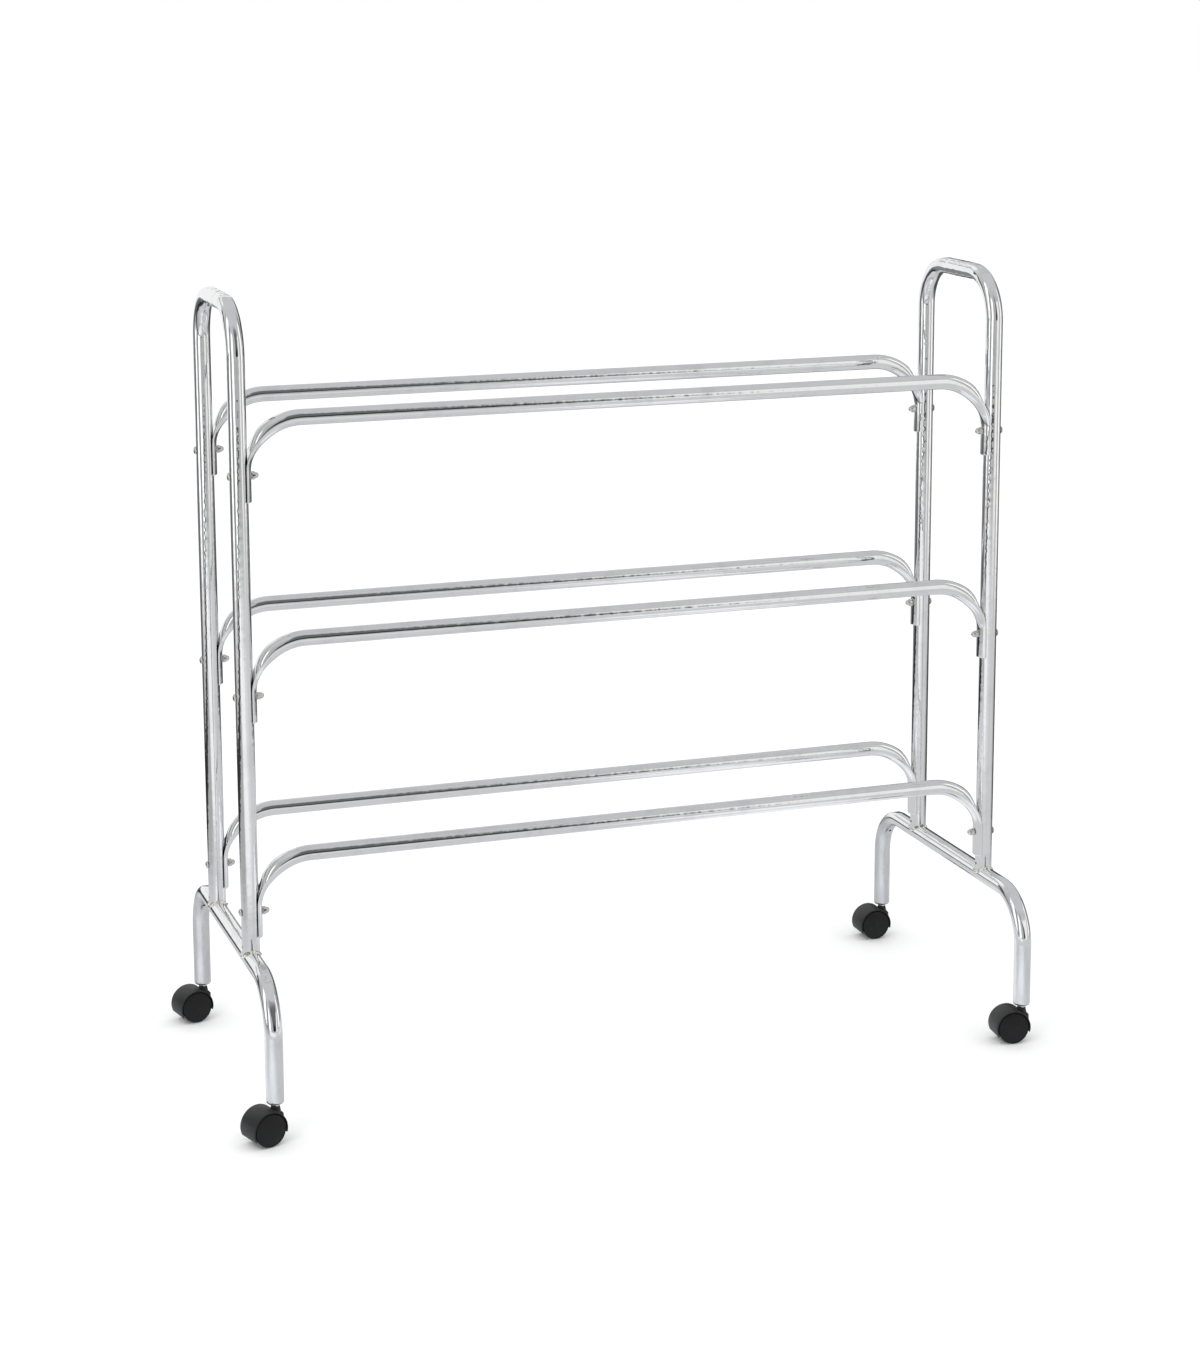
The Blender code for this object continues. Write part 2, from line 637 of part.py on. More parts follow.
def stem_mesh():
    """The stem about Z, with the underside of its collar at z = 0, which stands on the hood's boss."""
    spigot_r = STEM_D / 2
    pin_r = STEM_PIN_D / 2
    collar_r = STEM_COLLAR_D / 2
    neck_top = STEM_COLLAR_T + STEM_NECK_H
    top = neck_top + STEM_PIN_H
    profile = [
        (0.0, top),
        (pin_r - WHEEL_EDGE, top),
        (pin_r, top - WHEEL_EDGE),
        (pin_r, neck_top),
        (spigot_r, neck_top),
        (spigot_r, STEM_COLLAR_T),
        (collar_r, STEM_COLLAR_T),
        (collar_r, 0.0),
        (spigot_r, 0.0),
        (spigot_r, SEAT_GAP - STEM_IN_BOSS),
        (0.0, SEAT_GAP - STEM_IN_BOSS),
    ]
    return turned_mesh("caster_stem", profile, STEM_SIDES)


def socket_mesh():
    """The insert in the leg's end, about Z, with the underside of its flange at z = 0."""
    body_r = TUBE_R - FRAME_TUBE_WALL - SEAT_GAP
    flange_r = TUBE_R - SOCKET_FLANGE_INSET
    bore_r = STEM_PIN_D / 2 + SEAT_GAP
    profile = [
        (bore_r, SOCKET_H),
        (body_r, SOCKET_H),
        (body_r, SOCKET_FLANGE_T),
        (flange_r, SOCKET_FLANGE_T),
        (flange_r - SOCKET_FLANGE_T, 0.0),
        (bore_r, 0.0),
        (bore_r, SOCKET_H),
    ]
    return turned_mesh("caster_socket", profile, SOCKET_SIDES)


def axle_mesh():
    """The axle pin about Z, with its middle at z = 0."""
    half_length = HOOD_CORE_W / 2 + RUNNING_GAP + AXLE_IN_WHEEL
    profile = [
        (0.0, half_length),
        (AXLE_D / 2, half_length),
        (AXLE_D / 2, -half_length),
        (0.0, -half_length),
    ]
    return turned_mesh("caster_axle", profile, HOLE_SIDES)


def build_casters():
    """The socket and stem stay in the leg. The hood, its axle and its two wheels turn about the stem."""
    hood = hood_mesh()
    wheel = wheel_mesh()
    stem = stem_mesh()
    socket = socket_mesh()
    axle = axle_mesh()
    for corner, (side, row, angle) in CASTERS.items():
        x = frame_x(side)
        y = leg_y(row)
        socket_object = add_object(f"{corner}_caster_socket", socket, RACK, SOCKET_GREY)
        socket_object.location = (x, y, SOCKET_Z)
        stem_object = add_object(f"{corner}_caster_stem", stem, RACK, STEEL)
        stem_object.location = (x, y, COLLAR_Z)
        swivel = bpy.data.objects.new(f"{corner}_caster_swivel", None)
        RACK.objects.link(swivel)
        swivel.location = (x, y, AXLE_Z)
        swivel.rotation_euler = (0.0, 0.0, math.radians(angle))
        hood_object = add_object(f"{corner}_caster_hood", hood, RACK, NYLON)
        hood_object.parent = swivel
        axle_object = add_object(f"{corner}_caster_axle", axle, RACK, AXLE_STEEL)
        axle_object.parent = swivel
        axle_object.location = (-TRAIL, 0.0, 0.0)
        axle_object.rotation_euler = (math.pi / 2, 0.0, 0.0)
        for facing, facing_name in ((-1, "front"), (1, "rear")):
            wheel_object = add_object(f"{corner}_caster_{facing_name}_wheel", wheel, RACK, WHEEL_NYLON)
            wheel_object.parent = swivel
            wheel_object.location = (-TRAIL, facing * (HOOD_CORE_W / 2 + RUNNING_GAP), 0.0)
            wheel_object.rotation_euler = (-facing * math.pi / 2, 0.0, 0.0)


def main():
    for side, side_name in ((-1, "left"), (1, "right")):
        build_foot(side_name, side)
        build_hoop(side_name, side)
    build_rails()
    build_fasteners()
    build_casters()


main()
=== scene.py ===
"""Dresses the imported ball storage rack: chromed frames and rails, welds, fasteners and twin-wheel casters."""

import json
import math

import bmesh
import bpy
from bpy.props import FloatProperty, FloatVectorProperty, IntProperty, PointerProperty
from mathutils import Matrix, Vector


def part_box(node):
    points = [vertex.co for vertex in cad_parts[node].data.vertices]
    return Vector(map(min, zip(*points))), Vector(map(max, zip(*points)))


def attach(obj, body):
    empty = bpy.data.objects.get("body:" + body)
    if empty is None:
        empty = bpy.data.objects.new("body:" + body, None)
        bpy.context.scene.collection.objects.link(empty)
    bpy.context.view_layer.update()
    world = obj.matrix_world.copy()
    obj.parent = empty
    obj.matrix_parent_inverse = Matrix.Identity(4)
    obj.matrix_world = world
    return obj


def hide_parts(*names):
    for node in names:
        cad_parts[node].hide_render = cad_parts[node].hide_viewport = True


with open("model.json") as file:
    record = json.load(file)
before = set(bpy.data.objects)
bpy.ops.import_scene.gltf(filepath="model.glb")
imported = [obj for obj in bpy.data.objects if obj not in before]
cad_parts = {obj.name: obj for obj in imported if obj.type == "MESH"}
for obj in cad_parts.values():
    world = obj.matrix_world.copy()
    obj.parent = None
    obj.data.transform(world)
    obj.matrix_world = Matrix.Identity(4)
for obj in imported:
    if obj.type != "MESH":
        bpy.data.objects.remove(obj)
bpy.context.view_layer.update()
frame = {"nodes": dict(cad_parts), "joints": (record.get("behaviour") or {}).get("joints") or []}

bl_info = {
    "name": "Ball Storage Rack",
    "version": (1, 0, 0),
    "blender": (4, 5, 0),
    "location": "3D View > Sidebar > Ball Rack",
    "description": "Builds the visible pieces of a ball storage rack over its packed model",
    "category": "Add Mesh",
}

SIDES = {"left": -1, "right": 1}
ROWS = {"front": -1, "rear": 1}
LEVELS = ("bottom", "middle", "top")
UPRIGHTS = [(side_name, row_name) for side_name in SIDES for row_name in ROWS]
CORNERS = [f"{row_name}_{side_name}" for side_name, row_name in UPRIGHTS]
JOINTS = {joint["name"]: joint for joint in frame["joints"]}
FRAME_BODY = "rack_frame"
MERGE_DISTANCE = 0.000005
SHARP_ANGLE = math.radians(32.0)


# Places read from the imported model


def middle(node):
    lowest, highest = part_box(node)
    return (lowest + highest) / 2


def frame_x(side_name):
    return middle(f"{side_name}_hoop").x


def foot_box(side_name):
    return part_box(f"{side_name}_foot_tube")


def tube_half(side_name):
    lowest, highest = foot_box(side_name)
    return (highest.x - lowest.x) / 2


def foot_z(side_name):
    return foot_box(side_name)[1].z - tube_half(side_name)


def leg_y(side_name, row_name):
    lowest, highest = foot_box(side_name)
    return lowest.y + tube_half(side_name) if row_name == "front" else highest.y - tube_half(side_name)


def upright_y(side_name, row_name):
    return middle(f"bolt_{side_name}_{row_name}_middle").y


def bolt_z(level_name):
    return middle(f"bolt_left_front_{level_name}").z


def stem_place(corner):
    return Vector(JOINTS[f"{corner}_swivel"]["pos_m"])


def caster_turn(corner):
    """Turns a caster that trails towards -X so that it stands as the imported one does."""
    axle = JOINTS[f"{corner}_front_wheel_spin"]["axis"]
    return Matrix.Rotation(math.atan2(-axle[0], axle[1]), 4, "Z")


# Sizes and colours that a user would change


def length(name, description, default, **limits):
    return FloatProperty(name=name, description=description, default=default, unit="LENGTH", **limits)


def tint(name, description, default):
    return FloatVectorProperty(name=name, description=description, default=default, subtype="COLOR")


class TubeSettings(bpy.types.PropertyGroup):
    diameter: length("Frame Tube Diameter", "Outside diameter of the end frames' tube", 0.02488, min=0.01)
    wall: length("Frame Tube Wall", "Wall thickness of the end frames' tube", 0.0015, min=0.0005)
    hoop_bend: length(
        "Hoop Bend Radius", "Radius of the hoop's two bends, on the tube's middle line", 0.068, min=0.03
    )
    foot_bend: length(
        "Foot Bend Radius", "Radius of the foot tube's two bends, on the tube's middle line", 0.070, min=0.03
    )
    bend_flat: length(
        "Flattened Bend", "How deep bending has pressed in the outer side of a hoop's bend", 0.0024, min=0.0
    )
    foot_flat: length(
        "Flattened Foot Bend", "How deep bending has pressed in the outer side of a foot's bend",
        0.0016, min=0.0,
    )
    wrinkle: length("Wrinkle Height", "Height of the wrinkles on the inner side of a bend", 0.0007, min=0.0)
    dent: length("Dent Depth", "Depth of the shallow dents in the hoop's top", 0.0004, min=0.0)
    vent: length("Vent Diameter", "Diameter of the holes that the plating drains through", 0.004, min=0.001)
    weld_bead: length("Weld Bead Radius", "Radius of the weld round an upright's foot", 0.0024, min=0.0005)
    weld_lumps: IntProperty(
        name="Weld Lumps", description="Lumps in the weld round one upright", default=9, min=4
    )
    seat_rise: length(
        "Seat Rise", "How far over the foot's middle line an upright's lowest edge stands",
        0.0045, min=0.0, max=0.012,
    )


class RailSettings(bpy.types.PropertyGroup):
    diameter: length("Rail Diameter", "Outside diameter of a rail's tube", 0.022, min=0.01)
    wall: length("Rail Wall", "Wall thickness of a rail's tube", 0.0012, min=0.0004)
    bend_run: length("Bend Run", "Length of a rail's bend along the level run", 0.075, min=0.02)
    nut_land: length("Straight Above Nut", "Straight crescent that shows over each cap nut", 0.002, min=0.0)
    crushed: length("Crushed Thickness", "Thickness of the crushed end", 0.004, min=0.002)
    end_round: length("End Corner", "Corner taken off the lower end on the nut's side", 0.0013, min=0.0)


class FastenerSettings(bpy.types.PropertyGroup):
    head_diameter: length("Bolt Head Diameter", "Diameter of a bolt's round head", 0.011, min=0.004)
    nut_flats: length("Nut Across Flats", "Size of the cap nut across its flats", 0.010, min=0.004)
    spin_seed: IntProperty(
        name="Spin Seed", description="Picks how far each nut and bolt was turned at the end", default=7
    )


class CasterSettings(bpy.types.PropertyGroup):
    wheel_radius: length("Wheel Radius", "Radius of a wheel over its tread", 0.0235, min=0.01)
    hood_radius: length("Hood Radius", "Radius of the hood over the wheels", 0.0262, min=0.012)
    hood_front_drop: FloatProperty(
        name="Hood Front Drop", description="How far the hood reaches below the axle on the stem's side",
        default=math.radians(15.0), subtype="ANGLE",
    )
    hood_back_drop: FloatProperty(
        name="Hood Back Drop", description="How far the hood reaches below the axle on the trailing side",
        default=math.radians(27.0), subtype="ANGLE",
    )
    rib_count: IntProperty(name="Wheel Ribs", description="Ribs inside each wheel", default=8, min=3)


class FinishSettings(bpy.types.PropertyGroup):
    chrome: tint("Frame Chrome", "Colour of the end frames' chrome", (0.875, 0.878, 0.884))
    rail_chrome: tint("Rail Chrome", "Colour of the rails' chrome", (0.865, 0.866, 0.868))
    weld: tint("Weld", "Colour of the plated weld", (0.93, 0.90, 0.80))
    zinc: tint("Bolt Zinc", "Colour of the bolts' plating", (0.74, 0.73, 0.69))
    nut_plate: tint("Nut Plating", "Colour of the cap nuts' plating", (0.70, 0.69, 0.65))
    hood_nylon: tint("Hood Nylon", "Colour of the casters' hoods", (0.0085, 0.0085, 0.0092))
    wheel_nylon: tint("Wheel Nylon", "Colour of the casters' wheels", (0.0055, 0.0055, 0.0060))


class StageSettings(bpy.types.PropertyGroup):
    floor_size: length("Floor Size", "Width of the floor", 60.0, min=2.0)
    floor_colour: tint("Floor Colour", "Colour of the floor", (0.97, 0.97, 0.97))
    light_level: FloatProperty(
        name="Light Level", description="Strength of the soft light from all round", default=1.0, min=0.0
    )
    lens: FloatProperty(
        name="Lens", description="Focal length of the camera in millimetres", default=75.67, min=10.0
    )


# Mesh helpers


def shade(mesh, angle=SHARP_ANGLE):
    mesh.shade_smooth()
    mesh.set_sharp_from_angle(angle=angle)


def mesh_from(shape, name, material=None):
    """Turns a bmesh into a mesh."""
    mesh = bpy.data.meshes.new(name)
    shape.to_mesh(mesh)
    shape.free()
    if material is not None:
        mesh.materials.append(material)
    return mesh


def finished_mesh(shape, name, material, angle=SHARP_ANGLE):
    """Turns a bmesh into a shaded mesh with its faces pointing out."""
    bmesh.ops.remove_doubles(shape, verts=shape.verts, dist=MERGE_DISTANCE)
    bmesh.ops.recalc_face_normals(shape, faces=shape.faces)
    mesh = mesh_from(shape, name, material)
    shade(mesh, angle)
    return mesh


def new_piece(name, mesh):
    piece = bpy.data.objects.new(name, mesh)
    bpy.context.scene.collection.objects.link(piece)
    return piece


def helper_from(shape, name):
    """A closed bmesh as an object that another piece is cut, joined or patterned with."""
    bmesh.ops.recalc_face_normals(shape, faces=shape.faces)
    return new_piece(name, mesh_from(shape, name))


def combine(piece, helpers, operation):
    """Cuts the helpers out of a piece, or joins them to it."""
    for helper in helpers:
        change = piece.modifiers.new(helper.name, "BOOLEAN")
        change.operation = operation
        change.object = helper
        change.solver = "EXACT"


def remove_objects(*objects):
    for item in objects:
        bpy.data.objects.remove(item)


def dress(piece, body, slot, *nodes):
    """Hands a finished piece to the frame: the nodes it stands for and the body it moves with; the slot, meant
    for its finish, is not used.
    """
    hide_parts(*nodes)
    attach(piece, body)


def place_copy(pattern, name, place, body, slot, node):
    """Sets a copy of a pattern mesh in its place and hands it to the frame."""
    mesh = pattern.copy()
    mesh.transform(place)
    dress(new_piece(name, mesh), body, slot, node)


def join_rings(shape, rings):
    """Faces between each ring of vertices and the next. A ring of one vertex is a pole."""
    for ring, following in zip(rings, rings[1:]):
        count = max(len(ring), len(following))
        for index in range(count):
            corners = []
            after = (index + 1) % count
            for vertices, turn in ((ring, index), (ring, after), (following, after), (following, index)):
                corner = vertices[turn % len(vertices)]
                if corner not in corners:
                    corners.append(corner)
            shape.faces.new(corners)


def closed_loft(outlines):
    """A skin through outlines of points, closed at both ends."""
    shape = bmesh.new()
    rings = [[shape.verts.new(point) for point in outline] for outline in outlines]
    join_rings(shape, rings)
    shape.faces.new(rings[0])
    shape.faces.new(list(reversed(rings[-1])))
    return shape


def rounded(corners):
    """Points along corners of (radius, height, fillet), with a round fillet at each corner that has one."""
    steps = 4
    points = []
    for index, (radius, height, fillet) in enumerate(corners):
        corner = Vector((radius, height))
        if fillet <= 0 or index in (0, len(corners) - 1):
            points.append(corner)
            continue
        back = (Vector(corners[index - 1][:2]) - corner).normalized()
        ahead = (Vector(corners[index + 1][:2]) - corner).normalized()
        half = back.angle(ahead) / 2
        centre = corner + (back + ahead).normalized() * fillet / math.sin(half)
        start = corner + back * fillet / math.tan(half) - centre
        end = corner + ahead * fillet / math.tan(half) - centre
        for step in range(steps + 1):
            points.append(centre + start.slerp(end, step / steps) * fillet)
    return points


def lathe(profile, sides, radius_of=None, place=Matrix.Identity(4)):
    """A turned shape about Z, from (radius, height) points. radius_of may change a ring by angle."""
    shape = bmesh.new()
    rings = []
    for radius, height in profile:
        if radius < MERGE_DISTANCE:
            rings.append([shape.verts.new(place @ Vector((0, 0, height)))])
            continue
        ring = []
        for side in range(sides):
            angle = 2 * math.pi * side / sides
            at = radius if radius_of is None else radius_of(radius, angle)
            ring.append(shape.verts.new(place @ Vector((at * math.cos(angle), at * math.sin(angle), height))))
        rings.append(ring)
    join_rings(shape, rings)
    return shape


def plain_mesh(source, name):
    """The mesh that the source's modifiers leave."""
    bpy.context.view_layer.update()
    graph = bpy.context.evaluated_depsgraph_get()
    mesh = bpy.data.meshes.new_from_object(source.evaluated_get(graph))
    mesh.name = name
    return mesh


def settle(piece):
    """Swaps a piece's modifiers for the plain mesh that they make."""
    mesh = plain_mesh(piece, piece.name)
    piece.modifiers.clear()
    piece.data = mesh


# Node helpers


def add_node(tree, kind, values=(), **settings):
    """A node with its settings, and its inputs set from values: a plain value, or a signal to link."""
    node = tree.nodes.new(kind)
    for name, setting in settings.items():
        setattr(node, name, setting)
    for key, value in dict(values).items():
        if isinstance(value, Signal):
            tree.links.new(value.socket, node.inputs[key])
        else:
            node.inputs[key].default_value = value
    return node


def signal_from(tree, kind, values=(), output=0, **settings):
    """What one output of a new node puts out."""
    return Signal(add_node(tree, kind, values, **settings).outputs[output])


class Signal:
    """What a socket puts out. Arithmetic on it adds a Math node, or a Vector Math node for a vector."""

    def __init__(self, socket):
        self.socket = socket
        self.tree = socket.id_data

    def math(self, operation, *others):
        kind, output = "ShaderNodeMath", "Value"
        if self.socket.type == "VECTOR":
            kind, output = "ShaderNodeVectorMath", "Vector"
        if operation in ("DOT_PRODUCT", "LENGTH"):
            output = "Value"
        return signal_from(self.tree, kind, dict(enumerate((self, *others))), output, operation=operation)

    def __add__(self, other):
        return self.math("ADD", other)

    def __sub__(self, other):
        return self.math("SUBTRACT", other)

    def __rsub__(self, other):
        return signal_from(self.tree, "ShaderNodeMath", {0: other, 1: self}, operation="SUBTRACT")

    def __mul__(self, other):
        return self.math("MULTIPLY", other)

    def __truediv__(self, other):
        return self.math("DIVIDE", other)

    def times_plus(self, factor, more):
        return self.math("MULTIPLY_ADD", factor, more)

    def scaled(self, factor):
        """The vector times a number."""
        return signal_from(self.tree, "ShaderNodeVectorMath", {0: self, "Scale": factor}, operation="SCALE")

    def parts(self):
        """The vector's X, Y and Z."""
        return signals_of(add_node(self.tree, "ShaderNodeSeparateXYZ", {0: self}))

    def ramp(self, start, end, low=0.0, high=1.0):
        """A smooth step from low to high as the signal goes from start to end."""
        values = {"Value": self, "From Min": start, "From Max": end, "To Min": low, "To Max": high}
        return signal_from(self.tree, "ShaderNodeMapRange", values, "Result", interpolation_type="SMOOTHSTEP")

    def band(self, low, high, soft):
        """1 where the signal lies from low to high, with soft edges."""
        return self.ramp(low - soft, low + soft) * self.ramp(high - soft, high + soft, 1.0, 0.0)

    def noise(self, scale, detail=2.0, roughness=0.5, distortion=0.0):
        values = {"Vector": self, "Scale": scale, "Detail": detail, "Roughness": roughness}
        values["Distortion"] = distortion
        return signal_from(self.tree, "ShaderNodeTexNoise", values, "Fac")

    def mix(self, first, second):
        """A colour from first to second. Sockets 0, 6 and 7 of a Mix node are its factor and two colours."""
        values = {0: self, 6: first, 7: second}
        for key in (6, 7):
            if not isinstance(values[key], Signal):
                values[key] = (*values[key], 1.0)
        return signal_from(self.tree, "ShaderNodeMix", values, 2, data_type="RGBA")

    def bump(self, strength, distance):
        values = {"Height": self, "Strength": strength, "Distance": distance}
        return signal_from(self.tree, "ShaderNodeBump", values)


def signals_of(node):
    return [Signal(socket) for socket in node.outputs]


def named_value(tree, name, data_type="FLOAT"):
    return signal_from(tree, "GeometryNodeInputNamedAttribute", {"Name": name}, data_type=data_type)


def new_group(name, kind, inputs, outputs):
    """A node group and the signals of its inputs. Each socket is named with its default, or with its kind."""
    group = bpy.data.node_groups.new(name, kind)
    for in_out, sockets in (("INPUT", inputs), ("OUTPUT", outputs)):
        for socket_name, default in sockets.items():
            has_default = not isinstance(default, str)
            word = {int: "Int", float: "Float"}[type(default)] if has_default else default
            socket = group.interface.new_socket(socket_name, in_out=in_out, socket_type=f"NodeSocket{word}")
            if has_default:
                socket.default_value = default
    given = add_node(group, "NodeGroupInput").outputs
    return group, {socket.name: Signal(socket) for socket in given if socket.name}


def new_geometry_tree(name, inputs):
    """A tree that takes and gives a shape, with its finish and the named inputs."""
    inputs = {"Geometry": "Geometry", **inputs, "Finish": "Material"}
    return new_group(name, "GeometryNodeTree", inputs, {"Geometry": "Geometry"})


def close_tree(tree, shape, finish):
    """Ends a tree in Realize Instances and Set Material."""
    real = signal_from(tree, "GeometryNodeRealizeInstances", {"Geometry": shape})
    painted = signal_from(tree, "GeometryNodeSetMaterial", {"Geometry": real, "Material": finish})
    add_node(tree, "NodeGroupOutput", {"Geometry": painted})


def add_tree(target, tree, values):
    """Puts a tree on an object with its inputs set, by identifier, before anything evaluates it."""
    modifier = target.modifiers.new(tree.name, "NODES")
    modifier.node_group = tree
    for item in tree.interface.items_tree:
        if item.item_type == "SOCKET" and item.in_out == "INPUT" and item.name in values:
            modifier[item.identifier] = values[item.name]


def swept_round(tree, guide, sides, radius):
    """A round bar along the guide."""
    path = signal_from(tree, "GeometryNodeMeshToCurve", {"Mesh": guide})
    ring = signal_from(tree, "GeometryNodeCurvePrimitiveCircle", {"Resolution": sides, "Radius": radius})
    return signal_from(tree, "GeometryNodeCurveToMesh", {"Curve": path, "Profile Curve": ring})


def move_points(tree, shape, position):
    return signal_from(tree, "GeometryNodeSetPosition", {"Geometry": shape, "Position": position})


def guide_mesh(name, points, edges, attributes):
    """A mesh of points and edges with named point attributes, each a list of numbers or of vectors."""
    mesh = bpy.data.meshes.new(name)
    mesh.from_pydata([tuple(point) for point in points], edges, [])
    for attribute_name, values in attributes.items():
        if isinstance(values[0], Vector):
            attribute = mesh.attributes.new(attribute_name, "FLOAT_VECTOR", "POINT")
            attribute.data.foreach_set("vector", [axis for value in values for axis in value])
        else:
            attribute = mesh.attributes.new(attribute_name, "FLOAT", "POINT")
            attribute.data.foreach_set("value", values)
    return mesh


# Shared shader groups


def plating_group():
    """Bright plating: hazy clouds, small pits and the long faint waves of drawn tube."""
    group, given = new_group(
        "bright_plating",
        "ShaderNodeTree",
        {"Vector": "Vector", "Cloud Scale": 30.0, "Pit Scale": 420.0, "Wave Scale": 85.0},
        {"Haze": "Float", "Pits": "Float", "Height": "Float"},
    )
    place = given["Vector"]
    haze = place.noise(given["Cloud Scale"], 4.0, 0.6).ramp(0.46, 0.72)
    from_pit = signal_from(
        group, "ShaderNodeTexVoronoi", {"Vector": place, "Scale": given["Pit Scale"]}, "Distance"
    )
    pits = from_pit.ramp(0.20, 0.08) * place.noise(95.0, 1.0).ramp(0.60, 0.72)
    height = place.noise(given["Wave Scale"], 1.0) - pits * 0.35
    add_node(group, "NodeGroupOutput", {"Haze": haze, "Pits": pits, "Height": height})
    return group


def moulding_group():
    """Moulded nylon: fine spark grain, broad sheen changes and dusty scuffs."""
    group, given = new_group(
        "moulded_nylon",
        "ShaderNodeTree",
        {"Vector": "Vector", "Grain Scale": 2600.0, "Scuff Scale": 160.0},
        {"Grain": "Float", "Sheen": "Float", "Scuffs": "Float"},
    )
    place = given["Vector"]
    grain = place.noise(given["Grain Scale"], 2.0, 0.6)
    sheen = place.noise(70.0, 3.0)
    long_way = signal_from(group, "ShaderNodeMapping", {"Vector": place, "Scale": (1.0, 1.0, 0.35)})
    scuffs = long_way.noise(given["Scuff Scale"], 5.0, 0.7, 0.4).ramp(0.60, 0.78)
    add_node(group, "NodeGroupOutput", {"Grain": grain, "Sheen": sheen, "Scuffs": scuffs})
    return group


# Materials


def new_material(name):
    """An empty material, its tree and its Object coordinates."""
    material = bpy.data.materials.new(name)
    material.use_nodes = True
    tree = material.node_tree
    tree.nodes.clear()
    return material, tree, signal_from(tree, "ShaderNodeTexCoord", output="Object")


def close_material(tree, values):
    """Ends a material in a Principled BSDF with its inputs set."""
    shader = signal_from(tree, "ShaderNodeBsdfPrincipled", values)
    add_node(tree, "ShaderNodeOutputMaterial", {"Surface": shader})


def dimmed(colour, share):
    return [channel * share for channel in colour]


def plated(name, colour, polish, haze_gain, wave, satin=False, cloud_scale=30.0):
    """A bright plated metal. With satin, the attribute of that name dulls it, as on the legs."""
    material, tree, place = new_material(name)
    values = {"Vector": place, "Cloud Scale": cloud_scale}
    plating = add_node(tree, "ShaderNodeGroup", values, node_tree=SHADER_GROUPS["plating"])
    haze, pits, waves = signals_of(plating)
    base = (haze * 0.55).mix(colour, dimmed(colour, 0.86))
    base = (pits * 0.6).mix(base, (0.30, 0.28, 0.25))
    roughness = haze.times_plus(haze_gain, polish)
    if satin:
        dulling = signal_from(tree, "ShaderNodeAttribute", output="Fac", attribute_name="satin")
        along = signal_from(tree, "ShaderNodeMapping", {"Vector": place, "Scale": (1.0, 1.0, 0.22)})
        mottle = along.noise(110.0, 3.0, 0.60)
        specks = place.noise(620.0, 2.0).ramp(0.66, 0.74)
        base = (dulling * mottle.ramp(0.35, 0.70, 0.55, 1.0)).mix(base, (0.665, 0.672, 0.682))
        base = (specks * dulling * 0.25).mix(base, (0.42, 0.41, 0.39))
        roughness = roughness + dulling * mottle.ramp(0.30, 0.75, 0.20, 0.32)
    bumps = waves.bump(wave, 0.0006)
    close_material(tree, {"Base Color": base, "Roughness": roughness, "Normal": bumps, "Metallic": 1.0})
    return material


def weld_metal(colour):
    material, tree, place = new_material("plated_weld")
    grain = place.noise(900.0, 3.0, 0.6)
    burnt = place.noise(260.0, 3.0).ramp(0.50, 0.62)
    pale = grain.mix(colour, (0.97, 0.95, 0.88))
    base = (burnt * 0.85).mix(pale, (0.20, 0.165, 0.11))
    roughness = grain.ramp(0.3, 0.7, 0.10, 0.30)
    bumps = grain.bump(0.5, 0.0004)
    close_material(tree, {"Base Color": base, "Roughness": roughness, "Normal": bumps, "Metallic": 1.0})
    return material


def nylon(name, colour, gloss, shine, grain_strength, scuff_strength):
    """Black moulded nylon: dark glossy edges come from the shape, grain and scuffs from here."""
    material, tree, place = new_material(name)
    moulding = add_node(tree, "ShaderNodeGroup", {"Vector": place}, node_tree=SHADER_GROUPS["moulding"])
    grain, sheen, scuffs = signals_of(moulding)
    base = sheen.mix(dimmed(colour, 0.8), colour)
    base = (scuffs * scuff_strength).mix(base, (0.115, 0.112, 0.105))
    roughness = scuffs.times_plus(0.12, sheen.times_plus(0.16, gloss))
    bumps = grain.bump(grain_strength, 0.0002)
    values = {"Base Color": base, "Roughness": roughness, "Normal": bumps, "Specular IOR Level": shine}
    close_material(tree, values)
    return material


def floor_paint(colour):
    material, tree, place = new_material("studio_floor")
    patches = place.noise(1.4, 3.0)
    base = patches.mix(colour, dimmed(colour, 0.985))
    roughness = patches.ramp(0.3, 0.7, 0.70, 0.80)
    close_material(tree, {"Base Color": base, "Roughness": roughness, "Specular IOR Level": 0.1})
    return material


SHADER_GROUPS = {}
PAINTS = {}


def make_finishes(finish):
    """Builds every shared group and material of the rack once."""
    SHADER_GROUPS["plating"] = plating_group()
    SHADER_GROUPS["moulding"] = moulding_group()
    PAINTS["tube"] = plated("frame_chrome", finish.chrome, 0.035, 0.05, 0.34, satin=True)
    PAINTS["rail"] = plated("rail_chrome", finish.rail_chrome, 0.05, 0.06, 0.30)
    PAINTS["weld"] = weld_metal(finish.weld)
    PAINTS["bolt"] = plated("bolt_zinc", finish.zinc, 0.16, 0.14, 0.25, cloud_scale=160.0)
    PAINTS["nut"] = plated("nut_plating", finish.nut_plate, 0.12, 0.14, 0.25, cloud_scale=160.0)
    PAINTS["hood"] = nylon("hood_nylon", finish.hood_nylon, 0.34, 0.42, 0.22, 0.25)
    PAINTS["wheel"] = nylon("wheel_nylon", finish.wheel_nylon, 0.30, 0.28, 0.16, 0.35)
    PAINTS["collar"] = plated("collar_steel", (0.80, 0.80, 0.80), 0.14, 0.16, 0.15, cloud_scale=180.0)
    PAINTS["socket"] = plated("socket_steel", (0.50, 0.50, 0.50), 0.26, 0.20, 0.25, cloud_scale=120.0)
    PAINTS["axle"] = plated("axle_steel", (0.34, 0.34, 0.35), 0.24, 0.20, 0.20, cloud_scale=120.0)


# Bent frame tubes


